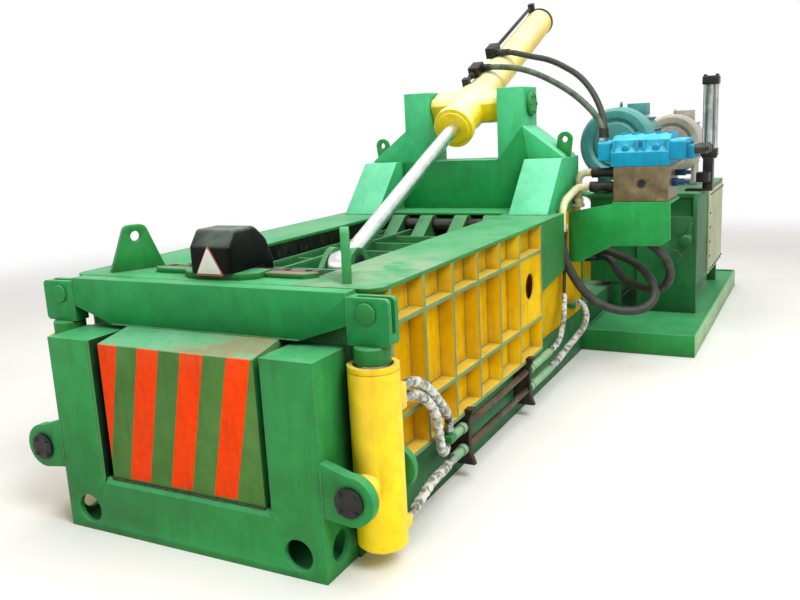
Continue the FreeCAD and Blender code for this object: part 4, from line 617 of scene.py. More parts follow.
# its pale, patchy top colour is a painted reflection of the sky on the hood's crown
HOOD_BLACK = ShopEnamel("black_enamel_sheet", colour="#080c09", shade="#050806",
                        dust_and_highlight_colour="#8d9c91", bare="#5b5d58", grime_and_shade="#060706", dust_and_highlight_strength=0.85, wear=0.3,
                        dirt_and_shade=0.2, rough=0.22, sheen=0.1, clean=0.40, least=0.12)
CAP_BLACK = Plain("blackened_steel", "#24251f", "#121310", 0.4, 0.42)
BROWN = ShopEnamel("red_oxide_primer_brown", colour="#2b2119", shade="#1d1712",
                   dust_and_highlight_colour="#4b4035", bare="#6d5b49", grime_and_shade="#15110d", wear=0.5, rough=0.55)
COVER_CREAM = ShopEnamel("cream_enamel_cover", colour="#b9bf9c", shade="#a3ad87",
                         dust_and_highlight_colour="#d9dcc0", bare="#8d8a6b", grime_and_shade="#4f5236", wear=0.4, dirt_and_shade=0.6)
ELBOW_CREAM = ShopEnamel("cream_enamel_pipe", colour="#d6cfa2", shade="#b9b184",
                         dust_and_highlight_colour="#e7e2bf", bare="#8a7a55", grime_and_shade="#4a4430", wear=0.3)
RAM_PIPE_GREEN = ShopEnamel("green_enamel_pipe", colour="#2f8a4f", shade="#25713f")
CAST_BLUE = ShopEnamel("blue_enamel_cast_iron", colour="#069cc2", shade="#0388ae",
                       dust_and_highlight_colour="#62dcf0", bare="#5f7d84", grime_and_shade="#0d3d4c", dust_and_highlight_strength=0.9, wear=0.35,
                       dirt_and_shade=0.6, rough=0.45)
MOTOR_TEAL = ShopEnamel("teal_enamel_motor", colour="#468e8a", shade="#337672",
                        dust_and_highlight_colour="#8fc7c2", bare="#6f7f7a", grime_and_shade="#1f3735", dust_and_highlight_strength=0.6)
MOTOR_GREY = ShopEnamel("grey_enamel_motor", colour="#b8b3a4", shade="#a09b8c",
                        dust_and_highlight_colour="#d8d4c7", bare="#7c776b", grime_and_shade="#3c392f", dust_and_highlight_strength=0.5)
WORN_BEIGE = ShopEnamel("worn_enamel_flange", dust_and_highlight_colour="#50ae78", bare="#b08a62", grime_and_shade="#4b4030",
                        dust_and_highlight_strength=0.85, wear=0.7,
                        rubbed=Rub((0.5, back(620), 1.05), 0.55, "#8aa985"))
WORN_BAR = ShopEnamel("worn_enamel_bar", bare="#8f7a6a", wear=1.0,
                      rubbed=Rub((0.3, back(420), 1.07), 0.5, "#8d7b6b"))
# pale green for the platform's right end: painted light on the side the key lamp lights, with worn
# edges
LIT_SIDE_GREEN = ShopEnamel("pale_green_enamel_lit_side", colour="#9cbf8f", shade="#7fa877",
                      dust_and_highlight_colour="#c5dab8", bare="#a08a66", wear=0.7)
RIB_EDGE = ShopEnamel("overspray_on_rib_edges", colour="#7f9a5a", shade="#5f8254",
                      dust_and_highlight_colour="#a9b98a", bare="#b4a35a", grime_and_shade="#3f4a2c", wear=0.8, dirt_and_shade=0.5)
NAVY = ShopEnamel("dark_blue_enamel_valve", colour="#24496f", shade="#1a3757",
                  dust_and_highlight_colour="#4d7396", bare="#5f6d74", grime_and_shade="#0d1c2a")
MANIFOLD = Plain("zinc_phosphated_steel", "#847556", "#5b5039", 0.55, 0.4, 0.006)
SILVER = Plain("bright_zinc_steel", "#c4c8c6", "#9ba19f", 0.9, 0.3, 0.004, 0.0003)
DARK_STEEL = Plain("oiled_steel", "#4a4a45", "#2d2d2a", 0.8, 0.38, 0.006)
FITTING_GREEN = ShopEnamel("green_overspray_unions", colour="#7fae7d", shade="#5e8f62",
                           dust_and_highlight_colour="#a8c9a4", bare="#8d8d80", wear=0.6)
PIPE_BROWN = BareSteel("rusty_pipe_steel", "#6f675c", "#4b443b", "#6a4630", 0.7, 0.5)
PLATE_STEEL = BareSteel("worn_plate_steel")
BLADE_STEEL = BareSteel("rusty_blade_steel", "#7b7872", "#4a4743", "#7d4826", 0.8, 0.4)
# very dark, standing in partly for the shade inside the chamber
LINER_STEEL = BareSteel("scoured_liner_steel", "#2c332b", "#171d17", "#37301f", 0.2, 0.5)
CHROME = HardChrome("hard_chrome")
HOSE_BLACK = Rubber("hose_rubber_black")
HOSE_GREEN = Rubber("hose_rubber_green_sheen", "#2a3a2c", "#5d6f58", 0.42)
TAPE = ClothWrap("glass_cloth_tape")
WELD = ShopEnamel("painted_weld", colour="#2f9c57", shade="#257f45", wear=0.2, dirt_and_shade=0.8)
WELD_AMBER = ShopEnamel("painted_weld_amber", colour="#d29a08", shade="#b98706", bare="#7f8a50",
                        grime_and_shade="#4d4312", wear=0.3, dirt_and_shade=0.8)
SIGN_WHITE = Plain("white_enamel_plate", "#ecebe4", "#d6d4ca", 0.0, 0.35)
SIGN_RED = Plain("red_enamel_border", "#c8645a", "#ad4a42", 0.0, 0.38)


# ---------------------------------------------------------------- mesh and object helpers
def placed(name: str, data: bpy.types.ID) -> bpy.types.Object:
    """Put a mesh, curve, lamp or camera in the scene under a name."""
    holder = bpy.data.objects.new(name, data)
    bpy.context.scene.collection.objects.link(holder)
    return holder


def soften(mesh: bpy.types.Mesh, sharp: float) -> bpy.types.Mesh:
    """Shade a mesh smooth but for edges sharper than this many degrees; returns the mesh."""
    mesh.shade_smooth()
    mesh.set_sharp_from_angle(angle=math.radians(sharp))
    return mesh


def mesh_of(work: bmesh.types.BMesh, name: str) -> bpy.types.Mesh:
    """Turn finished mesh work into a mesh and free the work.

    Args:
        work: the finished mesh work.
        name: the mesh's name.

    Returns:
        The mesh.
    """
    mesh = bpy.data.meshes.new(name)
    work.to_mesh(mesh)
    work.free()
    return mesh


def evaluated(holder: bpy.types.Object, name: str) -> bpy.types.Mesh:
    """The mesh an object has after its modifiers; the object and its data are removed.

    Args:
        holder: an object that is needed only for its mesh or curve.
        name: the new mesh's name.

    Returns:
        The new mesh.
    """
    bpy.context.view_layer.update()
    graph = bpy.context.evaluated_depsgraph_get()
    mesh = bpy.data.meshes.new_from_object(holder.evaluated_get(graph))
    mesh.name = name
    old = holder.data
    bpy.data.objects.remove(holder)
    (bpy.data.meshes if isinstance(old, bpy.types.Mesh) else bpy.data.curves).remove(old)
    return mesh


def bridge(work: bmesh.types.BMesh, rings: Sequence[Sequence[bmesh.types.BMVert]]) -> None:
    """Add the faces between rings, of which the first and last may be single poles.

    Args:
        work: the mesh under construction.
        rings: vertices of each ring in turn, as many in each but for the poles.
    """
    for first, second in zip(rings, rings[1:]):
        sides = max(len(first), len(second))
        for k in range(sides):
            n = (k + 1) % sides
            corners = (first[k % len(first)], first[n % len(first)],
                       second[n % len(second)], second[k % len(second)])
            work.faces.new(list(dict.fromkeys(corners)))


def shells(work: bmesh.types.BMesh) -> list[list[bmesh.types.BMVert]]:
    """Vertices of each closed shell of a node, whose triangles come shell after shell.

    Args:
        work: the node's mesh, as it comes from the frame.

    Returns:
        A list of vertices for each shell.
    """
    found: list[list[bmesh.types.BMVert]] = []
    current: dict[bmesh.types.BMVert, None] = {}
    unpaired: set[frozenset] = set()
    for face in work.faces:
        current.update(dict.fromkeys(face.verts))
        at = [tuple(round(value, 5) for value in vert.co) for vert in face.verts]
        for first, second in zip(at, at[1:] + at[:1]):
            unpaired ^= {frozenset((first, second))}
        if not unpaired:
            found.append(list(current))
            current = {}
    return found + [list(current)] if current else found


# ---------------------------------------------------------------- geometry trees
def instance_tree(name: str, sizes: Sequence[str],
                  lay: Callable[[bpy.types.NodeTree, bpy.types.Node], dict]
                  ) -> bpy.types.NodeTree:
    """A Geometry Nodes tree that sets out one shape on points, made when first asked for.

    Args:
        name: the tree's name.
        sizes: the names of its size inputs.
        lay: adds the nodes that feed Instance on Points, from the tree and its group input.

    Returns:
        The tree, which takes a geometry, its sizes and a finish.
    """
    found = bpy.data.node_groups.get(name)
    if found:
        return found
    tree = bpy.data.node_groups.new(name, "GeometryNodeTree")
    kinds = {"Geometry": "NodeSocketGeometry", **dict.fromkeys(sizes, "NodeSocketFloat"),
             "Finish": "NodeSocketMaterial"}
    for label, kind in kinds.items():
        tree.interface.new_socket(label, in_out="INPUT", socket_type=kind)
    tree.interface.new_socket("Geometry", in_out="OUTPUT", socket_type="NodeSocketGeometry")
    given = add_node(tree, "NodeGroupInput")
    laid = add_node(tree, "GeometryNodeInstanceOnPoints", inputs=lay(tree, given))
    real = add_node(tree, "GeometryNodeRealizeInstances", inputs={0: laid.outputs[0]})
    painted = add_node(tree, "GeometryNodeSetMaterial",
                       inputs={"Geometry": real.outputs[0], "Material": given.outputs["Finish"]})
    add_node(tree, "NodeGroupOutput", inputs={0: painted.outputs[0]})
    return tree


def hexagon_heads(tree: bpy.types.NodeTree, given: bpy.types.Node) -> dict:
    """Hexagon heads on round washers, each along its point's facing vector.

    Args:
        tree: the tree under construction.
        given: its group input, with the geometry and the sizes.

    Returns:
        The inputs of Instance on Points, each with the socket that feeds it.
    """
    washer_share = {"Radius": 1.35, "Height": 0.4}      # of the head's own
    points = add_node(tree, "GeometryNodeMeshToPoints",
                      inputs={"Mesh": given.outputs["Geometry"]})
    head = add_node(tree, "GeometryNodeMeshCylinder",
                    inputs={"Vertices": 6, "Radius": given.outputs["Radius"],
                            "Depth": given.outputs["Height"]})
    wide, thin = (calc(tree, "MULTIPLY", given.outputs[size], share)
                  for size, share in washer_share.items())
    washer = add_node(tree, "GeometryNodeMeshCylinder",
                      inputs={"Vertices": 12, "Radius": wide, "Depth": thin})
    both = add_node(tree, "GeometryNodeJoinGeometry", inputs={0: head.outputs["Mesh"]})
    tree.links.new(washer.outputs["Mesh"], both.inputs[0])
    facing = add_node(tree, "GeometryNodeInputNamedAttribute", {"data_type": "FLOAT_VECTOR"},
                      {"Name": "facing"})
    turn = add_node(tree, "FunctionNodeAlignRotationToVector", {"axis": "Z"},
                    {"Vector": facing.outputs["Attribute"]})
    return {"Points": points.outputs[0], "Instance": both.outputs[0],
            "Rotation": turn.outputs[0]}


def weld_drops(tree: bpy.types.NodeTree, given: bpy.types.Node) -> dict:
    """Overlapping drops of uneven size along edges, as a hand-laid weld bead.

    Args:
        tree: the tree under construction.
        given: its group input, with the geometry and the sizes.

    Returns:
        The inputs of Instance on Points, each with the socket that feeds it.
    """
    seam = add_node(tree, "GeometryNodeMeshToCurve", inputs={"Mesh": given.outputs["Geometry"]})
    spaced = add_node(tree, "GeometryNodeCurveToPoints", {"mode": "LENGTH"},
                      {"Curve": seam.outputs[0], "Length": given.outputs["Spacing"]})
    drop = add_node(tree, "GeometryNodeMeshIcoSphere",
                    inputs={"Radius": given.outputs["Radius"], "Subdivisions": 1})
    size = add_node(tree, "FunctionNodeRandomValue", {"data_type": "FLOAT_VECTOR"},
                    {"Min": (0.75, 0.75, 0.75), "Max": (1.15, 1.15, 1.15), "Seed": 4})
    return {"Points": spaced.outputs["Points"], "Instance": drop.outputs[0],
            "Rotation": spaced.outputs["Rotation"], "Scale": size.outputs[0]}


# ---------------------------------------------------------------- the shop
@dataclass
class Shop:
    """Makes pieces from CAD nodes, from mesh code and from node trees."""

    merged: float = 2e-5            # a node's corners that are nearer than this are one
    flat: float = 0.6               # triangles within this many degrees join into one face
    rounded_from: float = 32.0      # edges sharper than this many degrees are rounded
    sharp_from: float = 38.0        # edges sharper than this stay sharp in the shading
    made: int = 0

    def report(self, piece: bpy.types.Object) -> None:
        """Log one finished piece."""
        self.made += 1
        LOG.info("%3d %-28s %7d faces", self.made, piece.name,
                 len(piece.data.polygons) if piece.type == "MESH" else 0)

    def finished(self, name: str, mesh: bpy.types.Mesh, body: str, slot: str,
                 *finishes: Finish) -> bpy.types.Object:
        """Put a mesh in the scene as a piece of a body.

        Args:
            name: the piece's name.
            mesh: its mesh, in the row frame.
            body: the CAD body that carries it.
            slot: the record's material slot; not used.
            finishes: the finishes by material number.

        Returns:
            The piece.
        """
        kept = [0] * len(mesh.polygons)
        mesh.polygons.foreach_get("material_index", kept)
        mesh.materials.clear()
        for finish in finishes:
            mesh.materials.append(finish.material())
        mesh.polygons.foreach_set("material_index", kept)
        piece = placed(name, mesh)
        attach(piece, body)
        self.report(piece)
        return piece

    def dress(self, node: str, slot: str, finish: Finish, bevel: float = 3.0,
              patches: dict[Finish, FaceTest] | None = None) -> bpy.types.Object:
        """Stand a rounded and finished copy in for a CAD node, on the node's own body.

        Args:
            node: the CAD node.
            slot: the record's material slot.
            finish: the finish of most of its faces.
            bevel: radius of the rounded edges in millimetres.
            patches: other finishes and the faces that take them; the first that fits counts.

        Returns:
            The piece that replaces the node.
        """
        patches = patches or {}
        mesh = frame["nodes"][node].data.copy()
        work = bmesh.new()
        work.from_mesh(mesh)
        for verts in shells(work):
            bmesh.ops.remove_doubles(work, verts=verts, dist=self.merged)
        bmesh.ops.dissolve_degenerate(work, edges=work.edges, dist=self.merged / 2)
        bmesh.ops.join_triangles(work, faces=work.faces, angle_shape_threshold=math.pi,
                                 angle_face_threshold=math.radians(self.flat))
        work.normal_update()
        for face in work.faces:
            face.smooth = True
            centre = face.calc_center_median()
            face.material_index = next((number for number, test in enumerate(patches.values(), 1)
                                        if test(centre, face.normal)), 0)
        work.to_mesh(mesh)
        work.free()
        holder = placed("holder", mesh)
        cut = holder.modifiers.new("edges", "BEVEL")
        cut.width = bevel / 1000
        cut.segments = 2
        cut.limit_method = "ANGLE"
        cut.angle_limit = math.radians(self.rounded_from)
        cut.use_clamp_overlap = True
        cut.miter_outer = "MITER_ARC"
        mesh = soften(evaluated(holder, node + "_dressed"), self.sharp_from)
        piece = self.finished(node + "_piece", mesh, BODY_OF[node], slot, finish, *patches)
        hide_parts(node)
        return piece

    @staticmethod
    def grown(name: str, mesh: bpy.types.Mesh, tree: bpy.types.NodeTree,
              values: dict) -> bpy.types.Mesh:
        """The mesh that a Geometry Nodes tree makes of points or edges.

        Args:
            name: the new mesh's name.
            mesh: the points or edges.
            tree: the tree.
            values: the tree's inputs by name.

        Returns:
            The new mesh.
        """
        holder = placed("holder", mesh)
        step = holder.modifiers.new("tree", "NODES")
        step.node_group = tree
        for item in tree.interface.items_tree:
            if item.item_type == "SOCKET" and item.in_out == "INPUT" and item.name in values:
                step[item.identifier] = values[item.name]
        return evaluated(holder, name)

    def bolts(self, name: str, spots: Sequence[tuple[Vector, Vector]], radius: float,
              height: float) -> bpy.types.Object:
        """Hexagon heads on the press box, set out by a Geometry Nodes tree.

        Args:
            name: the piece's name.
            spots: place and outward direction of each head.
            radius: corner radius in metres.
            height: height of a head in metres.

        Returns:
            All heads as one piece.
        """
        mesh = bpy.data.meshes.new(name)
        mesh.from_pydata([tuple(place) for place, _ in spots], [], [])
        facing = mesh.attributes.new("facing", "FLOAT_VECTOR", "POINT")
        for item, (_, direction) in zip(facing.data, spots):
            item.vector = direction
        tree = instance_tree("hexagon_heads", ("Radius", "Height"), hexagon_heads)
        made = self.grown(name, mesh, tree, {"Radius": radius, "Height": height,
                                             "Finish": DARK_STEEL.material()})
        return self.finished(name, made, "machine", "worn_steel", DARK_STEEL)

    def welds(self, name: str, seams: Sequence[Seam], finish: Finish = WELD,
              radius: float = 0.0055, body: str = "machine",
              slot: str = "green_paint") -> bpy.types.Object:
        """Weld beads along seams, each a chain of small overlapping drops.

        Args:
            name: the piece's name.
            seams: the corners of each seam in metres.
            finish: their finish.
            radius: half the bead's width in metres.
            body: the body they ride on.
            slot: the record's material slot.

        Returns:
            All beads as one piece.
        """
        points: list[Triple] = []
        edges: list[tuple[int, int]] = []
        for seam in seams:
            first = len(points)
            points.extend(seam)
            edges.extend((first + i, first + i + 1) for i in range(len(seam) - 1))
        mesh = bpy.data.meshes.new(name)
        mesh.from_pydata(points, edges, [])
        tree = instance_tree("weld_beads", ("Radius", "Spacing"), weld_drops)
        made = self.grown(name, mesh, tree, {"Radius": radius, "Spacing": radius * 1.5,
                                             "Finish": finish.material()})
        made.shade_smooth()
        return self.finished(name, made, body, slot, finish)

    def lathe(self, name: str, profile: Sequence[tuple[float, float]], base: Vector,
              direction: Vector, body: str, slot: str, finish: Finish,
              sides: int) -> bpy.types.Object:
        """A closed turned piece.

        Args:
            name: the piece's name.
            profile: (distance along the axis, radius) in metres, from axis to axis.
            base: start of the axis.
            direction: the axis.
            body: the body it rides on.
            slot: the record's material slot.
            finish: its finish.
            sides: number of sides round it.

        Returns:
            The piece.
        """
        work = bmesh.new()
        turn = direction.normalized().to_track_quat("Z", "Y").to_matrix()
        rings = []
        for along, radius in profile:
            angles = [2 * math.pi * k / sides for k in range(sides if radius > 0 else 1)]
            rings.append([work.verts.new(base + turn @ Vector(
                (radius * math.cos(angle), radius * math.sin(angle), along)))
                for angle in angles])
        bridge(work, rings)
        bmesh.ops.recalc_face_normals(work, faces=work.faces)
        return self.finished(name, soften(mesh_of(work, name), 40), body, slot, finish)


# ---------------------------------------------------------------- studio
@dataclass(frozen=True)
class Lamp:
    """One square soft lamp that faces a target."""

    name: str
    place: Triple
    target: Triple
    size: float
    power: float

    def hang(self) -> None:
        """Put the lamp in the scene."""
        data = bpy.data.lights.new(self.name, "AREA")
        data.shape = "SQUARE"
        data.size = self.size
        data.energy = self.power
        holder = placed(self.name, data)
        holder.location = self.place
        aim = Vector(self.target) - Vector(self.place)
        holder.rotation_euler = aim.to_track_quat("-Z", "Y").to_euler()


@dataclass
class Studio:
    """Camera at the photograph's place, soft lamps, pale floor and a white surround."""

    eye: Triple = (2.201, -2.402, 1.628)
    yaw: float = 27.60
    pitch: float = 11.93
    roll: float = -2.884
    lens: float = 37.4526
    floor_colour: str = "#f4f3f0"
    floor_half: float = 60.0
    surround: float = 0.42
    middle: Triple = (0.3, 2.7, 0.0)            # of the floor that shows shadows
    clear: tuple[float, float] = (5.0, 9.0)     # where the floor turns to plain white
    lamps: tuple[Lamp, ...] = (
        Lamp("key_lamp", (6.0, -1.8, 7.2), (0.3, 1.6, 0.5), 4.0, 620.0),
        Lamp("top_lamp", (0.0, 2.4, 8.0), (0.0, 2.4, 0.0), 7.0, 400.0),
        Lamp("fill_lamp", (-4.5, -6.5, 3.0), (0.0, 0.5, 0.6), 6.0, 90.0))

    def camera(self) -> None:
        """Place the camera."""
        yaw, pitch, roll = map(math.radians, (self.yaw, self.pitch, self.roll))
        ahead = Vector((-math.sin(yaw) * math.cos(pitch), math.cos(yaw) * math.cos(pitch),
                        -math.sin(pitch)))
        level = Vector((math.cos(yaw), math.sin(yaw), 0))
        above = level.cross(ahead)
        right = level * math.cos(roll) + above * math.sin(roll)
        up = above * math.cos(roll) - level * math.sin(roll)
        data = bpy.data.cameras.new("camera")
        data.sensor_width = 36.0
        data.lens = self.lens
        data.clip_end = 200.0
        data.dof.use_dof = False
        holder = placed("camera", data)
        turn = Matrix((right, up, -ahead)).transposed().to_4x4()
        holder.matrix_world = Matrix.Translation(self.eye) @ turn
        bpy.context.scene.camera = holder

    @staticmethod
    def seen(tree: bpy.types.NodeTree) -> Socket:
        """1 for rays of the camera and those that a mirror or glass passes on.

        Args:
            tree: the material's or world's tree.

        Returns:
            The mask's socket.
        """
        ray = add_node(tree, "ShaderNodeLightPath").outputs
        return calc(tree, "ADD", ray["Is Camera Ray"], ray["Is Glossy Ray"],
                    ray["Is Transmission Ray"], clamp=True)

    def surface(self) -> bpy.types.Material:
        """Pale sealed concrete that shows only soft shadows.

        Returns:
            The floor's material.
        """
        made = bpy.data.materials.new("studio_floor")
        made.use_nodes = True
        tree = made.node_tree
        shader, out = (next(n for n in tree.nodes if n.type == kind)
                       for kind in ("BSDF_PRINCIPLED", "OUTPUT_MATERIAL"))
        on = Canvas(tree, add_node(tree, "ShaderNodeTexCoord").outputs["Object"])
        cloud = add_node(tree, "ShaderNodeTexNoise", inputs={"Vector": on.where, "Scale": 0.8})
        tone = on.ramp(cloud.outputs[0], [(0.3, "#eeedea"), (0.7, self.floor_colour)])
        wire(shader, {"Base Color": tone, "Roughness": 0.9, "Specular IOR Level": 0.2})
        share = add_node(tree, "ShaderNodeMapRange", {"interpolation_type": "SMOOTHSTEP"},
                         {"Value": on.away(self.middle), "From Min": self.clear[0],
                          "From Max": self.clear[1]})
        white = add_node(tree, "ShaderNodeEmission",
                         inputs={"Color": (1, 1, 1, 1), "Strength": 1.0})
        both = add_node(tree, "ShaderNodeMixShader",
                        inputs={0: on.times(share.outputs["Result"], self.seen(tree)),
                                1: shader.outputs[0], 2: white.outputs[0]})
        wire(out, {"Surface": both.outputs[0]})
        return made

    def floor(self) -> None:
        """Lay the floor out to the horizon."""
        mesh = bpy.data.meshes.new("floor")
        half = self.floor_half
        mesh.from_pydata([(-half, -half, 0), (half, -half, 0), (half, half, 0), (-half, half, 0)],
                         [], [(0, 1, 2, 3)])
        mesh.materials.append(self.surface())
        placed("floor", mesh)

    def sky(self) -> None:
        """Even white surround; the camera and mirrors see it white."""
        world = bpy.data.worlds.new("surround")
        bpy.context.scene.world = world
        world.use_nodes = True
        tree = world.node_tree
        tree.nodes.clear()
        light, white = (add_node(tree, "ShaderNodeBackground",
                                 inputs={"Color": colour, "Strength": strength})
                        for colour, strength in ((linear("#fffdf8"), self.surround),
                                                 ((1, 1, 1, 1), 1.0)))
        both = add_node(tree, "ShaderNodeMixShader",
                        inputs={0: self.seen(tree), 1: light.outputs[0], 2: white.outputs[0]})
        add_node(tree, "ShaderNodeOutputWorld", inputs={"Surface": both.outputs[0]})

    def build(self) -> None:
        """Set the whole studio up."""
        self.camera()
        for lamp in self.lamps:
            lamp.hang()
        self.floor()
        self.sky()
        bpy.context.scene.view_settings.view_transform = "Standard"


# ---------------------------------------------------------------- hoses
class Cover(Enum):
    """What a hose wears on its outside."""

    BLACK = "black rubber"
    GREENISH = "green-sheened rubber"
    TAPED = "rubber wrapped in cloth tape"


@dataclass(frozen=True)
class Route:
    """One hose: its route in millimetres behind the front face, its size and its cover."""

    node: str
    points: tuple[Triple, ...]
    diameter: float
    length: float
    cover: Cover
    taped: tuple[float, float] = (0.0, 0.0)     # shares of its length under the tape
    start_body: str = "machine"                 # the body that holds the first end

    def line(self) -> list[Vector]:
        """The route's points in the row frame, in metres."""
        return [Vector((x / 1000, back(y), z / 1000)) for x, y, z in self.points]


ROUTES = (
    Route("hose_lid_tail", (
        (30, 3649.2, 2096.7), (95, 3649.2, 2096.7), (185, 3640, 2072), (280, 3611, 2046),
        (370, 3574, 2026), (460, 3532, 1994), (552, 3480, 1948), (636, 3425, 1903),
        (714, 3360, 1843), (778, 3295, 1777), (829, 3234, 1710), (865, 3184, 1650),
        (887, 3148, 1602), (900, 3128, 1556), (905, 3120, 1516), (905, 3120, 1480)),
        40, 1302, Cover.BLACK, start_body="lid_cylinder"),
    Route("hose_lid_head", (
        (-11, 3374.1, 1984.6), (70, 3374.1, 1984.6), (165, 3371, 1976), (256, 3358, 1960),
        (349, 3338, 1932), (442, 3310, 1893), (535, 3275, 1847), (629, 3230, 1795),
        (716, 3180, 1739), (790, 3130, 1681), (842, 3094, 1634), (876, 3073, 1592),
        (896, 3061, 1552), (905, 3055, 1514), (905, 3055, 1480)),
        40, 1176, Cover.GREENISH, start_body="lid_cylinder"),
    Route("hose_loop_outer", (
        (745, 2690, 930), (745, 2690, 850), (748, 2735, 765), (778, 2762, 665),
        (838, 2825, 535), (930, 2874, 442), (1054, 2904, 398), (1175, 2945, 400),
        (1236, 3000, 446), (1245, 3055, 502), (1212, 3115, 556), (1163, 3172, 603),
        (1089, 3240, 645), (1000, 3315, 672), (915, 3395, 684), (848, 3480, 690),
        (742, 3480, 690)), 56, 1731, Cover.BLACK),
    Route("hose_loop_inner", (
        (742, 3560, 640), (822, 3560, 640), (880, 3500, 590), (930, 3400, 553),
        (1005, 3305, 522), (1090, 3245, 497), (1188, 3200, 478), (1275, 3168, 505),
        (1325, 3125, 590), (1318, 3085, 690), (1262, 3070, 764), (1188, 3066, 820),
        (1125, 3072, 885), (1095, 3080, 955), (1095, 3080, 1020)), 56, 1348, Cover.BLACK),
    Route("hose_thin", (
        (728, 2797, 930), (728, 2797, 850), (729, 2790, 760), (731, 2778, 660),
        (735, 2762, 560), (742, 2735, 460), (752, 2680, 370), (762, 2590, 300),
        (766, 2490, 268), (765, 2405, 262), (765, 2330, 262)),
        22, 959, Cover.TAPED, (0.42, 0.93)),
    Route("hose_curled", (
        (740, 2955, 412), (740, 3015, 412), (754, 3072, 404), (775, 3105, 367),
        (787, 3106, 314), (790, 3066, 268), (788, 2990, 242), (784, 2880, 225),
        (777, 2745, 205), (770, 2605, 182), (766, 2480, 163), (765, 2400, 158),
        (765, 2330, 158)), 30, 1027, Cover.TAPED, (0.08, 0.94)),
    Route("hose_gate_upper", (
        (805, 350.5, 662), (805, 402, 662), (808, 458, 655), (813, 515, 627),
        (820, 572, 582), (822, 632, 525), (817, 692, 472), (806, 745, 430),
        (795, 785, 395), (790, 803, 358), (790, 803, 325)), 30, 603, Cover.TAPED, (0.1, 0.86)),
    Route("hose_gate_middle", (
        (805, 350.5, 614), (805, 400, 614), (808, 455, 602), (812, 515, 573),
        (815, 570, 530), (815, 618, 472), (811, 650, 410), (806, 668, 345),
        (800, 695, 285), (788, 742, 246), (774, 795, 240), (765, 843, 262),
        (765, 890, 262)), 30, 734, Cover.TAPED, (0.08, 0.9)),
    Route("hose_gate_lower", (
        (805, 350.5, 132), (805, 398, 132), (808, 455, 156), (812, 515, 180),
        (810, 580, 190), (803, 650, 186), (793, 720, 174), (778, 790, 162),
        (765, 843, 158), (765, 890, 158)), 30, 555, Cover.TAPED, (0.1, 0.9)),
)


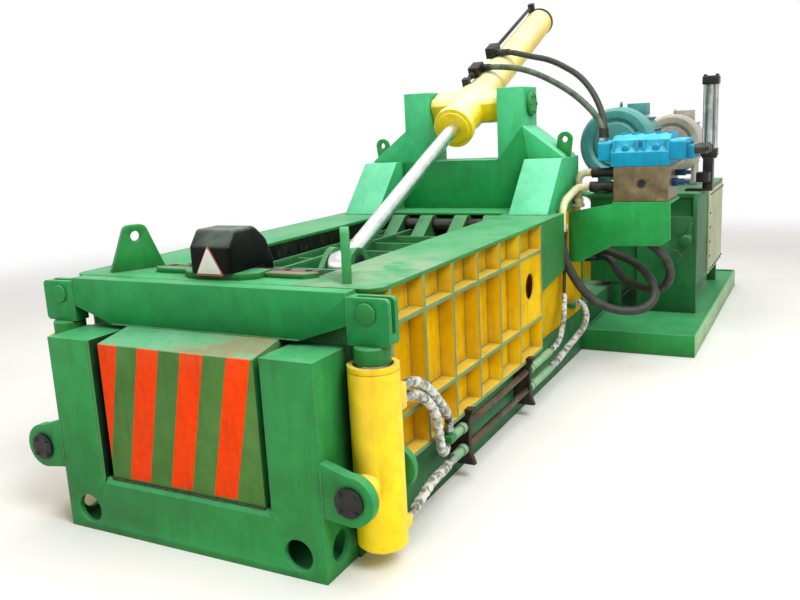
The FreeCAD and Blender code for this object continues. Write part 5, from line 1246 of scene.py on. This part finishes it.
@dataclass
class Hoses:
    """The nine hoses, their pressed ferrules and their cloth tape."""

    shop: Shop
    ferrule_length: float = 0.062
    ferrule_wall: float = 0.0045
    crimps: int = 4
    tape_thickness: float = 0.0045
    tape_pitch: float = 0.034
    tape_step: float = 0.004        # between the rings of the tape's mesh
    tape_sides: int = 22

    @staticmethod
    def curve(route: Route) -> bpy.types.Curve:
        """The hose's own curve with its round section.

        Args:
            route: the hose.

        Returns:
            The curve, closed at both ends.
        """
        data = bpy.data.curves.new(route.node + "_curve", "CURVE")
        data.dimensions = "3D"
        spline = data.splines.new("NURBS")
        line = route.line()
        spline.points.add(len(line) - 1)
        for point, place in zip(spline.points, line):
            point.co = (*place, 1.0)
        spline.order_u = 3
        spline.use_endpoint_u = True
        spline.resolution_u = 8
        data.bevel_depth = route.diameter / 2000
        data.bevel_resolution = 6
        data.use_fill_caps = True
        return data

    @staticmethod
    def centreline(curve: bpy.types.Curve) -> list[Vector]:
        """Points along a curve, read from Blender's own evaluation of it.

        Args:
            curve: the hose's curve.

        Returns:
            The points from its first end to its last.
        """
        plain = curve.copy()
        plain.bevel_depth = 0.0
        mesh = evaluated(placed("holder", plain), "centreline")
        points = [v.co.copy() for v in mesh.vertices]
        bpy.data.meshes.remove(mesh)
        return points

    def ferrule(self, route: Route, start: Vector, onward: Vector, number: int,
                body: str) -> bpy.types.Object:
        """A pressed steel sleeve with crimp rings and a nut at a hose end.

        Args:
            route: the hose.
            start: the hose's end.
            onward: the next point of its route.
            number: 1 for its first end, 2 for its last.
            body: the body that holds this end.

        Returns:
            The ferrule.
        """
        r = route.diameter / 2000
        length = min(self.ferrule_length, 2.1 * route.diameter / 1000)
        grown = r + self.ferrule_wall
        profile = [(0.0, 0.0), (0.0, r + 0.001), (0.001, grown + 0.002),
                   (length * 0.18, grown + 0.002), (length * 0.2, grown - 0.001)]
        for k in range(self.crimps):
            at = length * (0.26 + 0.16 * k)
            profile += [(at, grown), (at + length * 0.09, grown),
                        (at + length * 0.11, grown - 0.0025),
                        (at + length * 0.14, grown - 0.0025)]
        profile += [(length * 0.93, grown - 0.001), (length, r + 0.0012), (length, 0.0)]
        finish = SILVER if route.cover is Cover.TAPED else DARK_STEEL
        return self.shop.lathe(f"{route.node}_ferrule_{number}", profile, start,
                               (onward - start).normalized(), body, "zinc_fittings", finish,
                               sides=28)

    def tape(self, route: Route, path: list[Vector]) -> bpy.types.Object:
        """Cloth tape wound round part of a hose in overlapping turns.

        Args:
            route: the hose.
            path: its centreline.

        Returns:
            The tape as a closed sleeve with a step at each turn.
        """
        lengths = [0.0]
        for a, b in zip(path, path[1:]):
            lengths.append(lengths[-1] + (b - a).length)
        start, end = (share * lengths[-1] for share in route.taped)
        count = int((end - start) / self.tape_step)
        chance = random.Random(len(path) + int(route.length))
        phase = [chance.uniform(-1, 1) for _ in range(count + 1)]
        work = bmesh.new()
        rings = []
        side = Vector((0.3, 0.5, 0.8))
        for i in range(count + 1):
            s = start + (end - start) * i / count
            k = max(1, next((j for j, v in enumerate(lengths) if v >= s), len(lengths) - 1))
            share = (s - lengths[k - 1]) / max(lengths[k] - lengths[k - 1], 1e-9)
            centre = path[k - 1].lerp(path[k], share)
            ahead = (path[min(k + 1, len(path) - 1)] - path[max(k - 2, 0)]).normalized()
            side = (side - ahead * side.dot(ahead)).normalized()
            across = ahead.cross(side)
            close = min(1.0, i / 3, (count - i) / 3)
            ring = []
            for n in range(self.tape_sides):
                angle = 2 * math.pi * n / self.tape_sides
                turn = (angle / (2 * math.pi) + s / self.tape_pitch) % 1.0
                fold = 0.5 + 0.5 * math.sin(3 * angle + 40 * s) * phase[i]
                r = route.diameter / 2000 + 0.0008 + close * self.tape_thickness * (
                    0.35 + 0.9 * turn + 0.35 * fold)
                ring.append(work.verts.new(centre + side * (r * math.cos(angle))
                                           + across * (r * math.sin(angle))))
            rings.append(ring)
        bridge(work, rings)
        work.faces.new(rings[0][::-1])
        work.faces.new(rings[-1])
        bmesh.ops.recalc_face_normals(work, faces=work.faces)
        name = route.node + "_tape"
        return self.shop.finished(name, soften(mesh_of(work, name), 55), "machine",
                                  "hose_wrap", TAPE)

    @staticmethod
    def tube(route: Route, curve: bpy.types.Object) -> bpy.types.Object:
        """Turn a hose's curve into a closed tube of mesh.

        Args:
            route: the hose.
            curve: its curve's object, which is removed.

        Returns:
            The tube.
        """
        mesh = evaluated(curve, route.node + "_tube")
        work = bmesh.new()
        work.from_mesh(mesh)
        bmesh.ops.remove_doubles(work, verts=work.verts, dist=1e-6)
        work.to_mesh(mesh)
        work.free()
        return placed(route.node + "_piece", soften(mesh, 40))

    def lay(self, route: Route) -> None:
        """Args:
            route: the hose.
        """
        data = self.curve(route)
        finish = HOSE_GREEN if route.cover is Cover.GREENISH else HOSE_BLACK
        data.materials.append(finish.material())
        hose = placed(route.node + "_piece", data)
        path = self.centreline(data)
        line = route.line()
        swings = route.start_body != "machine"
        if swings:
            hose = self.tube(route, hose)
            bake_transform(hose)
        else:
            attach(hose, "machine")
        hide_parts(route.node)
        extras = [self.ferrule(route, line[0], line[1], 1, route.start_body),
                  self.ferrule(route, line[-1], line[-2], 2, "machine")]
        if route.cover is Cover.TAPED:
            extras.append(self.tape(route, path))
        self.shop.report(hose)

    def build(self) -> None:
        """Lay every hose."""
        for route in ROUTES:
            self.lay(route)


# ---------------------------------------------------------------- discharge frame and gate
@dataclass
class DischargeFrame:
    """The U-shaped frame in front, with its ears and trunnion caps."""

    shop: Shop
    jamb: tuple[float, float] = (0.40, 0.425)       # the gate's guides, in X, whose inner faces carry painted shade of the gap
    seams: tuple[Seam, ...] = (((0.65, 46, 0.28), (0.65, 46, 0.46)),
                               ((0.65, 1, 0.28), (0.65, 1, 0.45)))
    sill: Triple = (0.384, 13, 0.2485)              # right end of the painted shadow line on the sill

    def build(self) -> None:
        """Dress the frame and lay its welds, and a dark bead on the sill as painted shadow of the
        gap under the gate.
        """
        shop = self.shop
        near, far = self.jamb
        # the jambs' inner faces take the near-black green as painted shade of the gap beside the
        # gate
        shop.dress("discharge_frame", "green_paint", GREEN, bevel=4.0,
                   patches={GAP_SHADE: lambda c, n: abs(n.x) > FACING and near < abs(c.x) < far})
        shop.dress("trunnion_ears", "green_paint", GREEN, bevel=3.0)
        shop.dress("trunnion_caps", "black_paint", CAP_BLACK, bevel=1.2)
        shop.welds("frame_welds", mirrored(*self.seams))
        x, y, z = self.sill
        shop.welds("gate_gap_shadow", [[(-x, back(y), z), (x, back(y), z)]], GAP_SHADE)


@dataclass
class GateLift:
    """The striped gate, its crossbeam and the two lift cylinders."""

    shop: Shop
    axis: float = 0.765
    axis_back: float = 222.0
    collar: float = 0.068
    collar_foot: float = 0.7915
    collar_top: float = 0.8585
    painted_from: float = 0.857         # the rods' ends above this are green
    face: float = 40.0                  # the striped face ends this far behind the front
    beam_seam: Triple = (0.47, 188, 0.8602)             # right end of the seam at its foot
    fork_seams: tuple[float, float] = (189, 261)        # planes of the forks' upright seams
    fork_heights: tuple[float, float] = (0.90, 1.034)   # lower and upper ends of these
    fork_in: float = 0.079              # from the rod's axis in to a fork's seams

    def rod_collars(self) -> None:
        """Painted collars on the rods, between the forks and the cylinders."""
        height = self.collar_top - self.collar_foot
        r = self.collar
        profile = [(0, 0), (0, r - 0.004), (0.004, r), (height - 0.006, r), (height, r - 0.006),
                   (height, 0)]
        for side, name in zip(SIDES, ("left", "right")):
            self.shop.lathe(f"gate_rod_collar_{name}", profile,
                            Vector((side * self.axis, back(self.axis_back), self.collar_foot)),
                            UP, "gate", "green_paint", GREEN, sides=48)

    def build(self) -> None:
        """Dress the gate and its lift."""
        shop = self.shop
        shop.dress("gate_panel", "gate_paint", STRIPES, bevel=3.0,
                   patches={GATE_TOP: lambda c, n: c.y > back(self.face)})
        shop.dress("crossbeam", "green_paint", BEAM_GREEN, bevel=3.5)
        shop.dress("fork_pins", "green_paint", GREEN, bevel=1.5)
        shop.dress("gate_rods", "rod_chrome", CHROME, bevel=1.5,
                   patches={GREEN: lambda c, n: c.z > self.painted_from})
        shop.dress("gate_glands", "worn_steel", DARK_STEEL, bevel=1.0)
        shop.dress("gate_cylinders", "yellow_paint", VIVID, bevel=2.0)
        self.rod_collars()
        x, y, z = self.beam_seam
        inner = self.axis - self.fork_in
        low, high = self.fork_heights
        seams = [[(-x, back(y), z), (x, back(y), z)]]
        seams += mirrored(*(((inner, at, low), (inner, at, high)) for at in self.fork_seams))
        shop.welds("crossbeam_welds", seams, radius=0.005, body="gate")


# ---------------------------------------------------------------- press box
@dataclass
class PressBox:
    """The press chamber with its ribbed sides, flanges, blades, liners and base."""

    shop: Shop
    rib_first: float = 370.0
    rib_pitch: float = 290.0
    rib_count: int = 6
    rib_last: float = 2190.0
    rib_half: float = 11.0          # half a rib's thickness with its weld, in millimetres
    rib_out: float = 0.7695         # the ribs' outer edges lie beyond this X
    skin_out: float = 0.70
    wall_out: float = 0.45          # the walls' faces beyond this X take the darker amber of painted shade
    bays: tuple[tuple[float, float], ...] = ((0.334, 0.501), (0.523, 0.882), (0.904, 1.033))
    seams: tuple[Seam, ...] = (     # of the flange, the doubler, the housing's top and foot
        ((0.7005, 2190, 1.0335), (0.7005, 370, 1.0335)),
        ((0.7705, 2201, 0.70), (0.7705, 2201, 1.033)),
        ((0.7025, 2652, 1.033), (0.7025, 3289, 1.033)),
        ((0.6905, 2651, 0.3105), (0.6905, 3290, 0.3105)))
    liner_face: float = 0.3985
    liner_rows: tuple[float, ...] = (0.36, 0.62, 0.90, 0.985)
    liner_first: float = 560.0
    liner_pitch: float = 107.5
    liner_count: int = 18
    blade_first: float = -0.35
    blade_pitch: float = 0.1
    blade_count: int = 8
    blade_at: tuple[float, float] = (500.5, 0.985)
    bar_at: tuple[float, float] = (470.0, 1.0705)
    hood_half: float = 0.115        # the hood hides the bar's bolts inside this

    def rib_welds(self) -> None:
        """Fillet welds where the ribs meet the skin, on both sides."""
        at = [self.rib_first + self.rib_pitch * n for n in range(self.rib_count)]
        at.append(self.rib_last)
        x = self.skin_out
        seams = []
        for first, second in zip(at, at[1:]):
            y0, y1 = first + self.rib_half, second - self.rib_half
            for low, high in self.bays:
                seams.append([(x, y0, low), (x, y0, high), (x, y1, high), (x, y1, low),
                              (x, y0, low)])
        self.shop.welds("rib_welds", mirrored(*seams), WELD_AMBER, radius=0.006,
                        slot="yellow_paint")

    def liners(self) -> None:
        """Countersunk bolts of the wear plates, in rows inside the mouth."""
        spots = [(Vector((side * self.liner_face,
                          back(self.liner_first + self.liner_pitch * k), row)),
                  Vector((-side, 0, 0)))
                 for side in SIDES for row in self.liner_rows for k in range(self.liner_count)]
        self.shop.bolts("liner_bolts", spots, radius=0.013, height=0.005)

    def blade_bolts(self) -> None:
        """Bolts along the shear blade and the raised bar."""
        (bar_y, bar_z), (blade_y, blade_z) = self.bar_at, self.blade_at
        spots = []
        for k in range(self.blade_count):
            x = self.blade_first + self.blade_pitch * k
            if abs(x) > self.hood_half:
                spots.append((Vector((x, back(bar_y), bar_z)), UP))
            spots.append((Vector((x, back(blade_y), blade_z)), Vector((0, 1, 0))))
        self.shop.bolts("blade_bolts", spots, radius=0.012, height=0.006)

    def build(self) -> None:
        """Dress the press box."""
        shop = self.shop
        shop.dress("chamber_front", "green_paint", GREEN, bevel=3.0)
        shop.dress("flange_sides", "green_paint", GREEN, bevel=2.5,
                   patches={WORN_BEIGE: lambda c, n: n.z > FACING})
        shop.dress("front_blade_bar", "green_paint", WORN_BAR, bevel=2.0)
        shop.dress("front_shear_blade", "worn_steel", BLADE_STEEL, bevel=2.0)
        # the walls' outer faces take the darker amber, painted shade of the bracket and hoses
        shop.dress("chamber_walls", "worn_steel", LINER_STEEL, bevel=1.0,
                   patches={SHADED_HOUSING_AMBER: lambda c, n: (abs(n.x) > FACING and
                                                         abs(c.x) > self.wall_out)})
        shop.dress("side_panels", "yellow_paint", AMBER, bevel=1.5,
                   patches={RIB_EDGE: lambda c, n: abs(c.x) > self.rib_out})
        shop.dress("doubler_plates", "green_paint", DOUBLER_GREEN, bevel=2.5)
        shop.dress("base_rails", "dark_green_paint", DEEP_GREEN, bevel=2.5)
        shop.dress("chamber_floor", "worn_steel", PLATE_STEEL, bevel=1.5)
        shop.dress("rear_housing", "green_paint", GREEN, bevel=2.5)
        shop.dress("rear_head_plate", "green_paint", GREEN, bevel=3.0)
        shop.dress("lifting_lugs", "green_paint", GREEN, bevel=2.0)
        self.rib_welds()
        shop.welds("housing_welds", mirrored(*self.seams), radius=0.006)
        self.liners()
        self.blade_bolts()


@dataclass
class LockHood:
    """The rounded black hood over the lid lock, with a plain sign on its front."""

    shop: Shop
    half: float = 0.1
    sheet: float = 0.005
    rounding: float = 0.017
    outline: tuple[Triple, ...] = (         # behind the front, z, corner radius
        (285, 1.076, 0), (285, 1.185, 22), (335, 1.25, 26), (474, 1.25, 60), (548, 1.19, 60),
        (591, 1.09, 60), (591, 0.986, 0))
    arc_steps: int = 6
    pad_end: float = 512.0                  # behind this the hood hangs down past its pad
    sign: float = 0.142                     # side of the sign's triangle
    sign_corner: float = 0.07               # its corners' cut, as a share of the side
    sign_face: float = 0.86                 # the white face's side, as a share of the border's
    thickness: float = 0.0025

    def plate(self, name: str, size: float, lift: float, finish: Finish) -> None:
        """A triangular enamel plate on the hood's upright front.

        Args:
            name: the piece's name.
            size: length of its sides in metres.
            lift: how far it stands off the front.
            finish: its finish.
        """
        (y, low, _), (_, high, _) = self.outline[:2]
        centre = Vector((0.0, back(y) - lift, (low + high) / 2))
        work = bmesh.new()
        height = size * math.sqrt(3) / 2
        corners = [(-size / 2, -height / 2), (size / 2, -height / 2), (0, height / 2)]
        front, rear = ([work.verts.new(centre + Vector((x, depth, z))) for x, z in corners]
                       for depth in (-self.thickness, 0))
        work.faces.new(front)
        work.faces.new(rear[::-1])
        for k in range(3):
            n = (k + 1) % 3
            work.faces.new((front[n], front[k], rear[k], rear[n]))
        bmesh.ops.bevel(work, geom=[e for e in work.edges if e.verts[0].co.y != e.verts[1].co.y],
                        offset=size * self.sign_corner, segments=4, affect="EDGES", profile=0.5)
        bmesh.ops.recalc_face_normals(work, faces=work.faces)
        self.shop.finished(name, mesh_of(work, name), "machine", "black_paint", finish)

    def section(self) -> list[tuple[float, float]]:
        """The hood's side outline in the row frame, its corners turned as arcs.

        Returns:
            Y and Z of its points, from the front's foot over the top to the rear's.
        """
        at = [Vector((back(y), z)) for y, z, _ in self.outline]
        line = [tuple(at[0])]
        for before, here, after, (_, _, radius) in zip(at, at[1:], at[2:], self.outline[1:]):
            into, out = (before - here), (after - here)
            angle = into.angle(out)
            reach = min(radius / 1000 / math.tan(angle / 2), 0.48 * into.length,
                        0.48 * out.length)
            start, end = here + into.normalized() * reach, here + out.normalized() * reach
            for k in range(self.arc_steps + 1):
                t = k / self.arc_steps
                line.append(tuple(start * (1 - t) ** 2 + here * (2 * t * (1 - t)) + end * t ** 2))
        line.append(tuple(at[-1]))
        return line

    def shell(self) -> None:
        """Fold the hood's sheet over its outline, with rounded side edges."""
        line = self.section()
        work = bmesh.new()
        left, right = ([work.verts.new((x, y, z)) for y, z in line]
                       for x in (-self.half, self.half))
        step = [[work.verts.new((x, back(self.pad_end), z)) for z in (line[-1][1], line[0][1])]
                for x in (-self.half, self.half)]
        for k in range(len(line) - 1):
            work.faces.new((left[k], right[k], right[k + 1], left[k + 1]))
        for row, extra in zip((left, right), step):
            work.faces.new(row + extra)
        bmesh.ops.recalc_face_normals(work, faces=work.faces)
        rim = [e for e in work.edges if len(e.link_faces) == 2 and
               e.calc_face_angle(0) > math.radians(60)]
        bmesh.ops.bevel(work, geom=rim, offset=self.rounding, segments=5, affect="EDGES",
                        profile=0.5, clamp_overlap=True)
        bmesh.ops.triangulate(work, faces=[f for f in work.faces if len(f.verts) > 4])
        holder = placed("holder", mesh_of(work, "hood_shell"))
        thick = holder.modifiers.new("sheet", "SOLIDIFY")
        thick.thickness = self.sheet
        thick.offset = -1
        mesh = soften(evaluated(holder, "lock_hood_shell"), 50)
        piece = self.shop.finished("lock_hood_piece", mesh, "machine", "black_paint", HOOD_BLACK)
        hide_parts("lock_hood")

    def build(self) -> None:
        """Dress the hood, its pad and the sign."""
        self.shop.dress("lock_hood_pad", "green_paint", GREEN, bevel=3.0)
        self.shell()
        self.plate("sign_border", self.sign, lift=0.0006, finish=SIGN_RED)
        self.plate("sign_face", self.sign * self.sign_face, lift=0.0036, finish=SIGN_WHITE)


# ---------------------------------------------------------------- gantry, lid and main press
@dataclass
class Gantry:
    """The raked legs, the portal and the bearings of the lid cylinder."""

    shop: Shop
    beam_top: float = 1.37              # the portal's front faces below this take the darker beam green as painted shade
    seams: tuple[Seam, ...] = (         # round the legs' feet, and at the columns' feet
        ((0.457, 3230, 1.0505), (0.457, 2530, 1.0505), (0.702, 2530, 1.0505),
         (0.702, 3230, 1.0505)),
        ((0.249, 2929.5, 1.3685), (0.249, 2929.5, 1.37)),
        ((0.42, 2929.5, 1.3685), (0.42, 2929.5, 1.37)))

    def build(self) -> None:
        """Dress the gantry and lay its welds."""
        shop = self.shop
        shop.dress("gantry_legs", "green_paint", LEG_GREEN, bevel=4.0)
        # front faces of the portal's beam get the darker green as painted shade
        shop.dress("gantry_portal", "green_paint", LEG_GREEN, bevel=4.0,
                   patches={BEAM_GREEN: lambda c, n: n.y < -FACING and c.z < self.beam_top})
        shop.dress("lid_bearing_caps", "green_paint", GREEN, bevel=1.5)
        shop.dress("lid_hinge_pin", "worn_steel", DARK_STEEL, bevel=1.5)
        shop.welds("gantry_welds", mirrored(*self.seams))


@dataclass
class Lid:
    """The ribbed lid with its pin."""

    shop: Shop

    def build(self) -> None:
        """Dress the lid."""
        self.shop.dress("lid_panel", "green_paint", DEEP_GREEN, bevel=2.0)
        self.shop.dress("lid_pin", "worn_steel", DARK_STEEL, bevel=1.5)


@dataclass
class LidCylinder:
    """The yellow cylinder that closes the lid, with its steel pipes and chromed rod."""

    shop: Shop

    def build(self) -> None:
        """Dress the cylinder."""
        self.shop.dress("lid_barrel", "yellow_paint", BARREL_YELLOW, bevel=3.0)
        self.shop.dress("lid_gland", "yellow_paint", BARREL_YELLOW, bevel=2.0)
        self.shop.dress("lid_pipework", "black_paint", CAP_BLACK, bevel=2.0)
        self.shop.dress("lid_rod", "rod_chrome", CHROME, bevel=1.5)


@dataclass
class MainPress:
    """The press head with its rod and the main cylinder behind it."""

    shop: Shop

    def build(self) -> None:
        """Dress the main press."""
        self.shop.dress("press_head", "worn_steel", PLATE_STEEL, bevel=3.0)
        self.shop.dress("main_rod", "rod_chrome", CHROME, bevel=1.5)
        self.shop.dress("main_cylinder", "yellow_paint", VIVID, bevel=3.0)
        self.shop.dress("main_cylinder_cap", "yellow_paint", VIVID, bevel=2.0)


# ---------------------------------------------------------------- power unit
@dataclass
class PowerUnit:
    """The platform with the oil tank, its cover, the two motors and the tie-rod cylinder."""

    shop: Shop
    base_end: float = 1.4               # the platform's right end lies beyond this X
    cover_bolts: float = 0.0067         # the cover's bolt heads stand out this far
    tie_tube: tuple[float, float] = (1.345, 1.797)      # heights between its black end caps

    def build(self) -> None:
        """Dress the power unit."""
        shop = self.shop
        # tops and front take the lighter green, the right end the pale lit green, other faces the
        # darker green: lit and shaded copies of one paint
        shop.dress("power_base", "dark_green_paint", DEEP_GREEN, bevel=3.0,
                   patches={LIT_SIDE_GREEN: lambda c, n: n.x > FACING and c.x > self.base_end,
                            GREEN: lambda c, n: n.z > FACING or n.y < -FACING})
        # the tank takes the darker green as painted shade on its front
        shop.dress("tank", "green_paint", DEEP_GREEN, bevel=3.0)
        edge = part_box("tank_cover")[1].x - self.cover_bolts
        shop.dress("tank_cover", "cream_paint", COVER_CREAM, bevel=1.0,
                   patches={CAP_BLACK: lambda c, n: c.x > edge})
        shop.dress("motor_large", "teal_paint", MOTOR_TEAL, bevel=1.5)
        shop.dress("motor_small", "grey_paint", MOTOR_GREY, bevel=1.5)
        foot, head = self.tie_tube
        shop.dress("tie_rod_unit", "pipe_steel", SILVER, bevel=1.5,
                   patches={CAP_BLACK: lambda c, n: not foot <= c.z <= head})


@dataclass
class ValveGroup:
    """The bracket with the manifold, the blue valve bank and its pilot valves."""

    shop: Shop
    plug: Triple = (1.152, 1.191, 0.03)     # X, Z and radius of the plug on the manifold
    plug_front: float = 3030.0
    navy_below: float = 1.28                # the pilot valves' faces below this are navy
    nuts_beyond: float = 1.457              # the coils' nuts lie beyond this X

    def build(self) -> None:
        """Dress the valve group."""
        shop = self.shop
        x, z, radius = self.plug
        shop.dress("valve_bracket", "green_paint", BRACKET_GREEN, bevel=2.5)
        shop.dress("manifold", "manifold_steel", MANIFOLD, bevel=2.0,
                   patches={DARK_STEEL: lambda c, n: (c.y < back(self.plug_front) and
                                                      math.hypot(c.x - x, c.z - z) < radius)})
        shop.dress("valve_bank", "blue_paint", CAST_BLUE, bevel=3.0)
        shop.dress("valve_solenoids", "blue_paint", CAST_BLUE, bevel=1.5,
                   patches={NAVY: lambda c, n: c.z < self.navy_below,
                            DARK_STEEL: lambda c, n: c.x > self.nuts_beyond})


@dataclass
class PipeRack:
    """The pipes along the right-hand rail with their unions, and the bent pipes."""

    shop: Shop
    ram_pipes: tuple[float, float] = (0.665, 3400.0)    # they lie inside this X, behind this
    sleeves: Triple = (0.826, 1.1, 1.31)        # least X and the heights of the black sleeves
    bright_above: float = 1.3
    bright_right: tuple[float, float] = (1.0, 1.0)      # least X and Z of the bright ends
    gate_blocks: float = 900.0                  # green hose blocks lie in front of this,
    rail_blocks: tuple[float, float] = (0.45, 3000.0)   # or below this and in front of that

    def build(self) -> None:
        """Dress the pipes."""
        shop = self.shop
        shop.dress("pipe_rack", "brown_paint", BROWN, bevel=2.0)
        shop.dress("rack_pipes", "pipe_steel", PIPE_BROWN, bevel=1.0)
        shop.dress("pipe_unions", "zinc_fittings", FITTING_GREEN, bevel=1.0)
        inside, behind = self.ram_pipes
        out, low, high = self.sleeves
        right, over = self.bright_right
        under, before = self.rail_blocks
        shop.dress("pipe_fittings", "cream_paint", ELBOW_CREAM, bevel=1.5, patches={
            RAM_PIPE_GREEN: lambda c, n: c.x < inside and c.y > back(behind),
            CAP_BLACK: lambda c, n: c.x > out and low < c.z < high,
            SILVER: lambda c, n: c.z > self.bright_above or (c.x > right and c.z > over),
            GREEN: lambda c, n: (c.y < back(self.gate_blocks) or
                                 (c.z < under and c.y < back(before))),
            DARK_STEEL: lambda c, n: c.y > back(behind)})


def main() -> None:
    """Build the studio and dress every sub-assembly in order."""
    logging.basicConfig(level=logging.INFO, format="%(message)s")
    shop = Shop()
    Studio().build()
    for part in (Hoses(shop), DischargeFrame(shop), GateLift(shop), PressBox(shop),
                 LockHood(shop), Gantry(shop), Lid(shop), LidCylinder(shop), MainPress(shop),
                 PowerUnit(shop), ValveGroup(shop), PipeRack(shop)):
        LOG.info("%s", type(part).__name__)
        part.build()


if __name__ == "__main__":
    main()
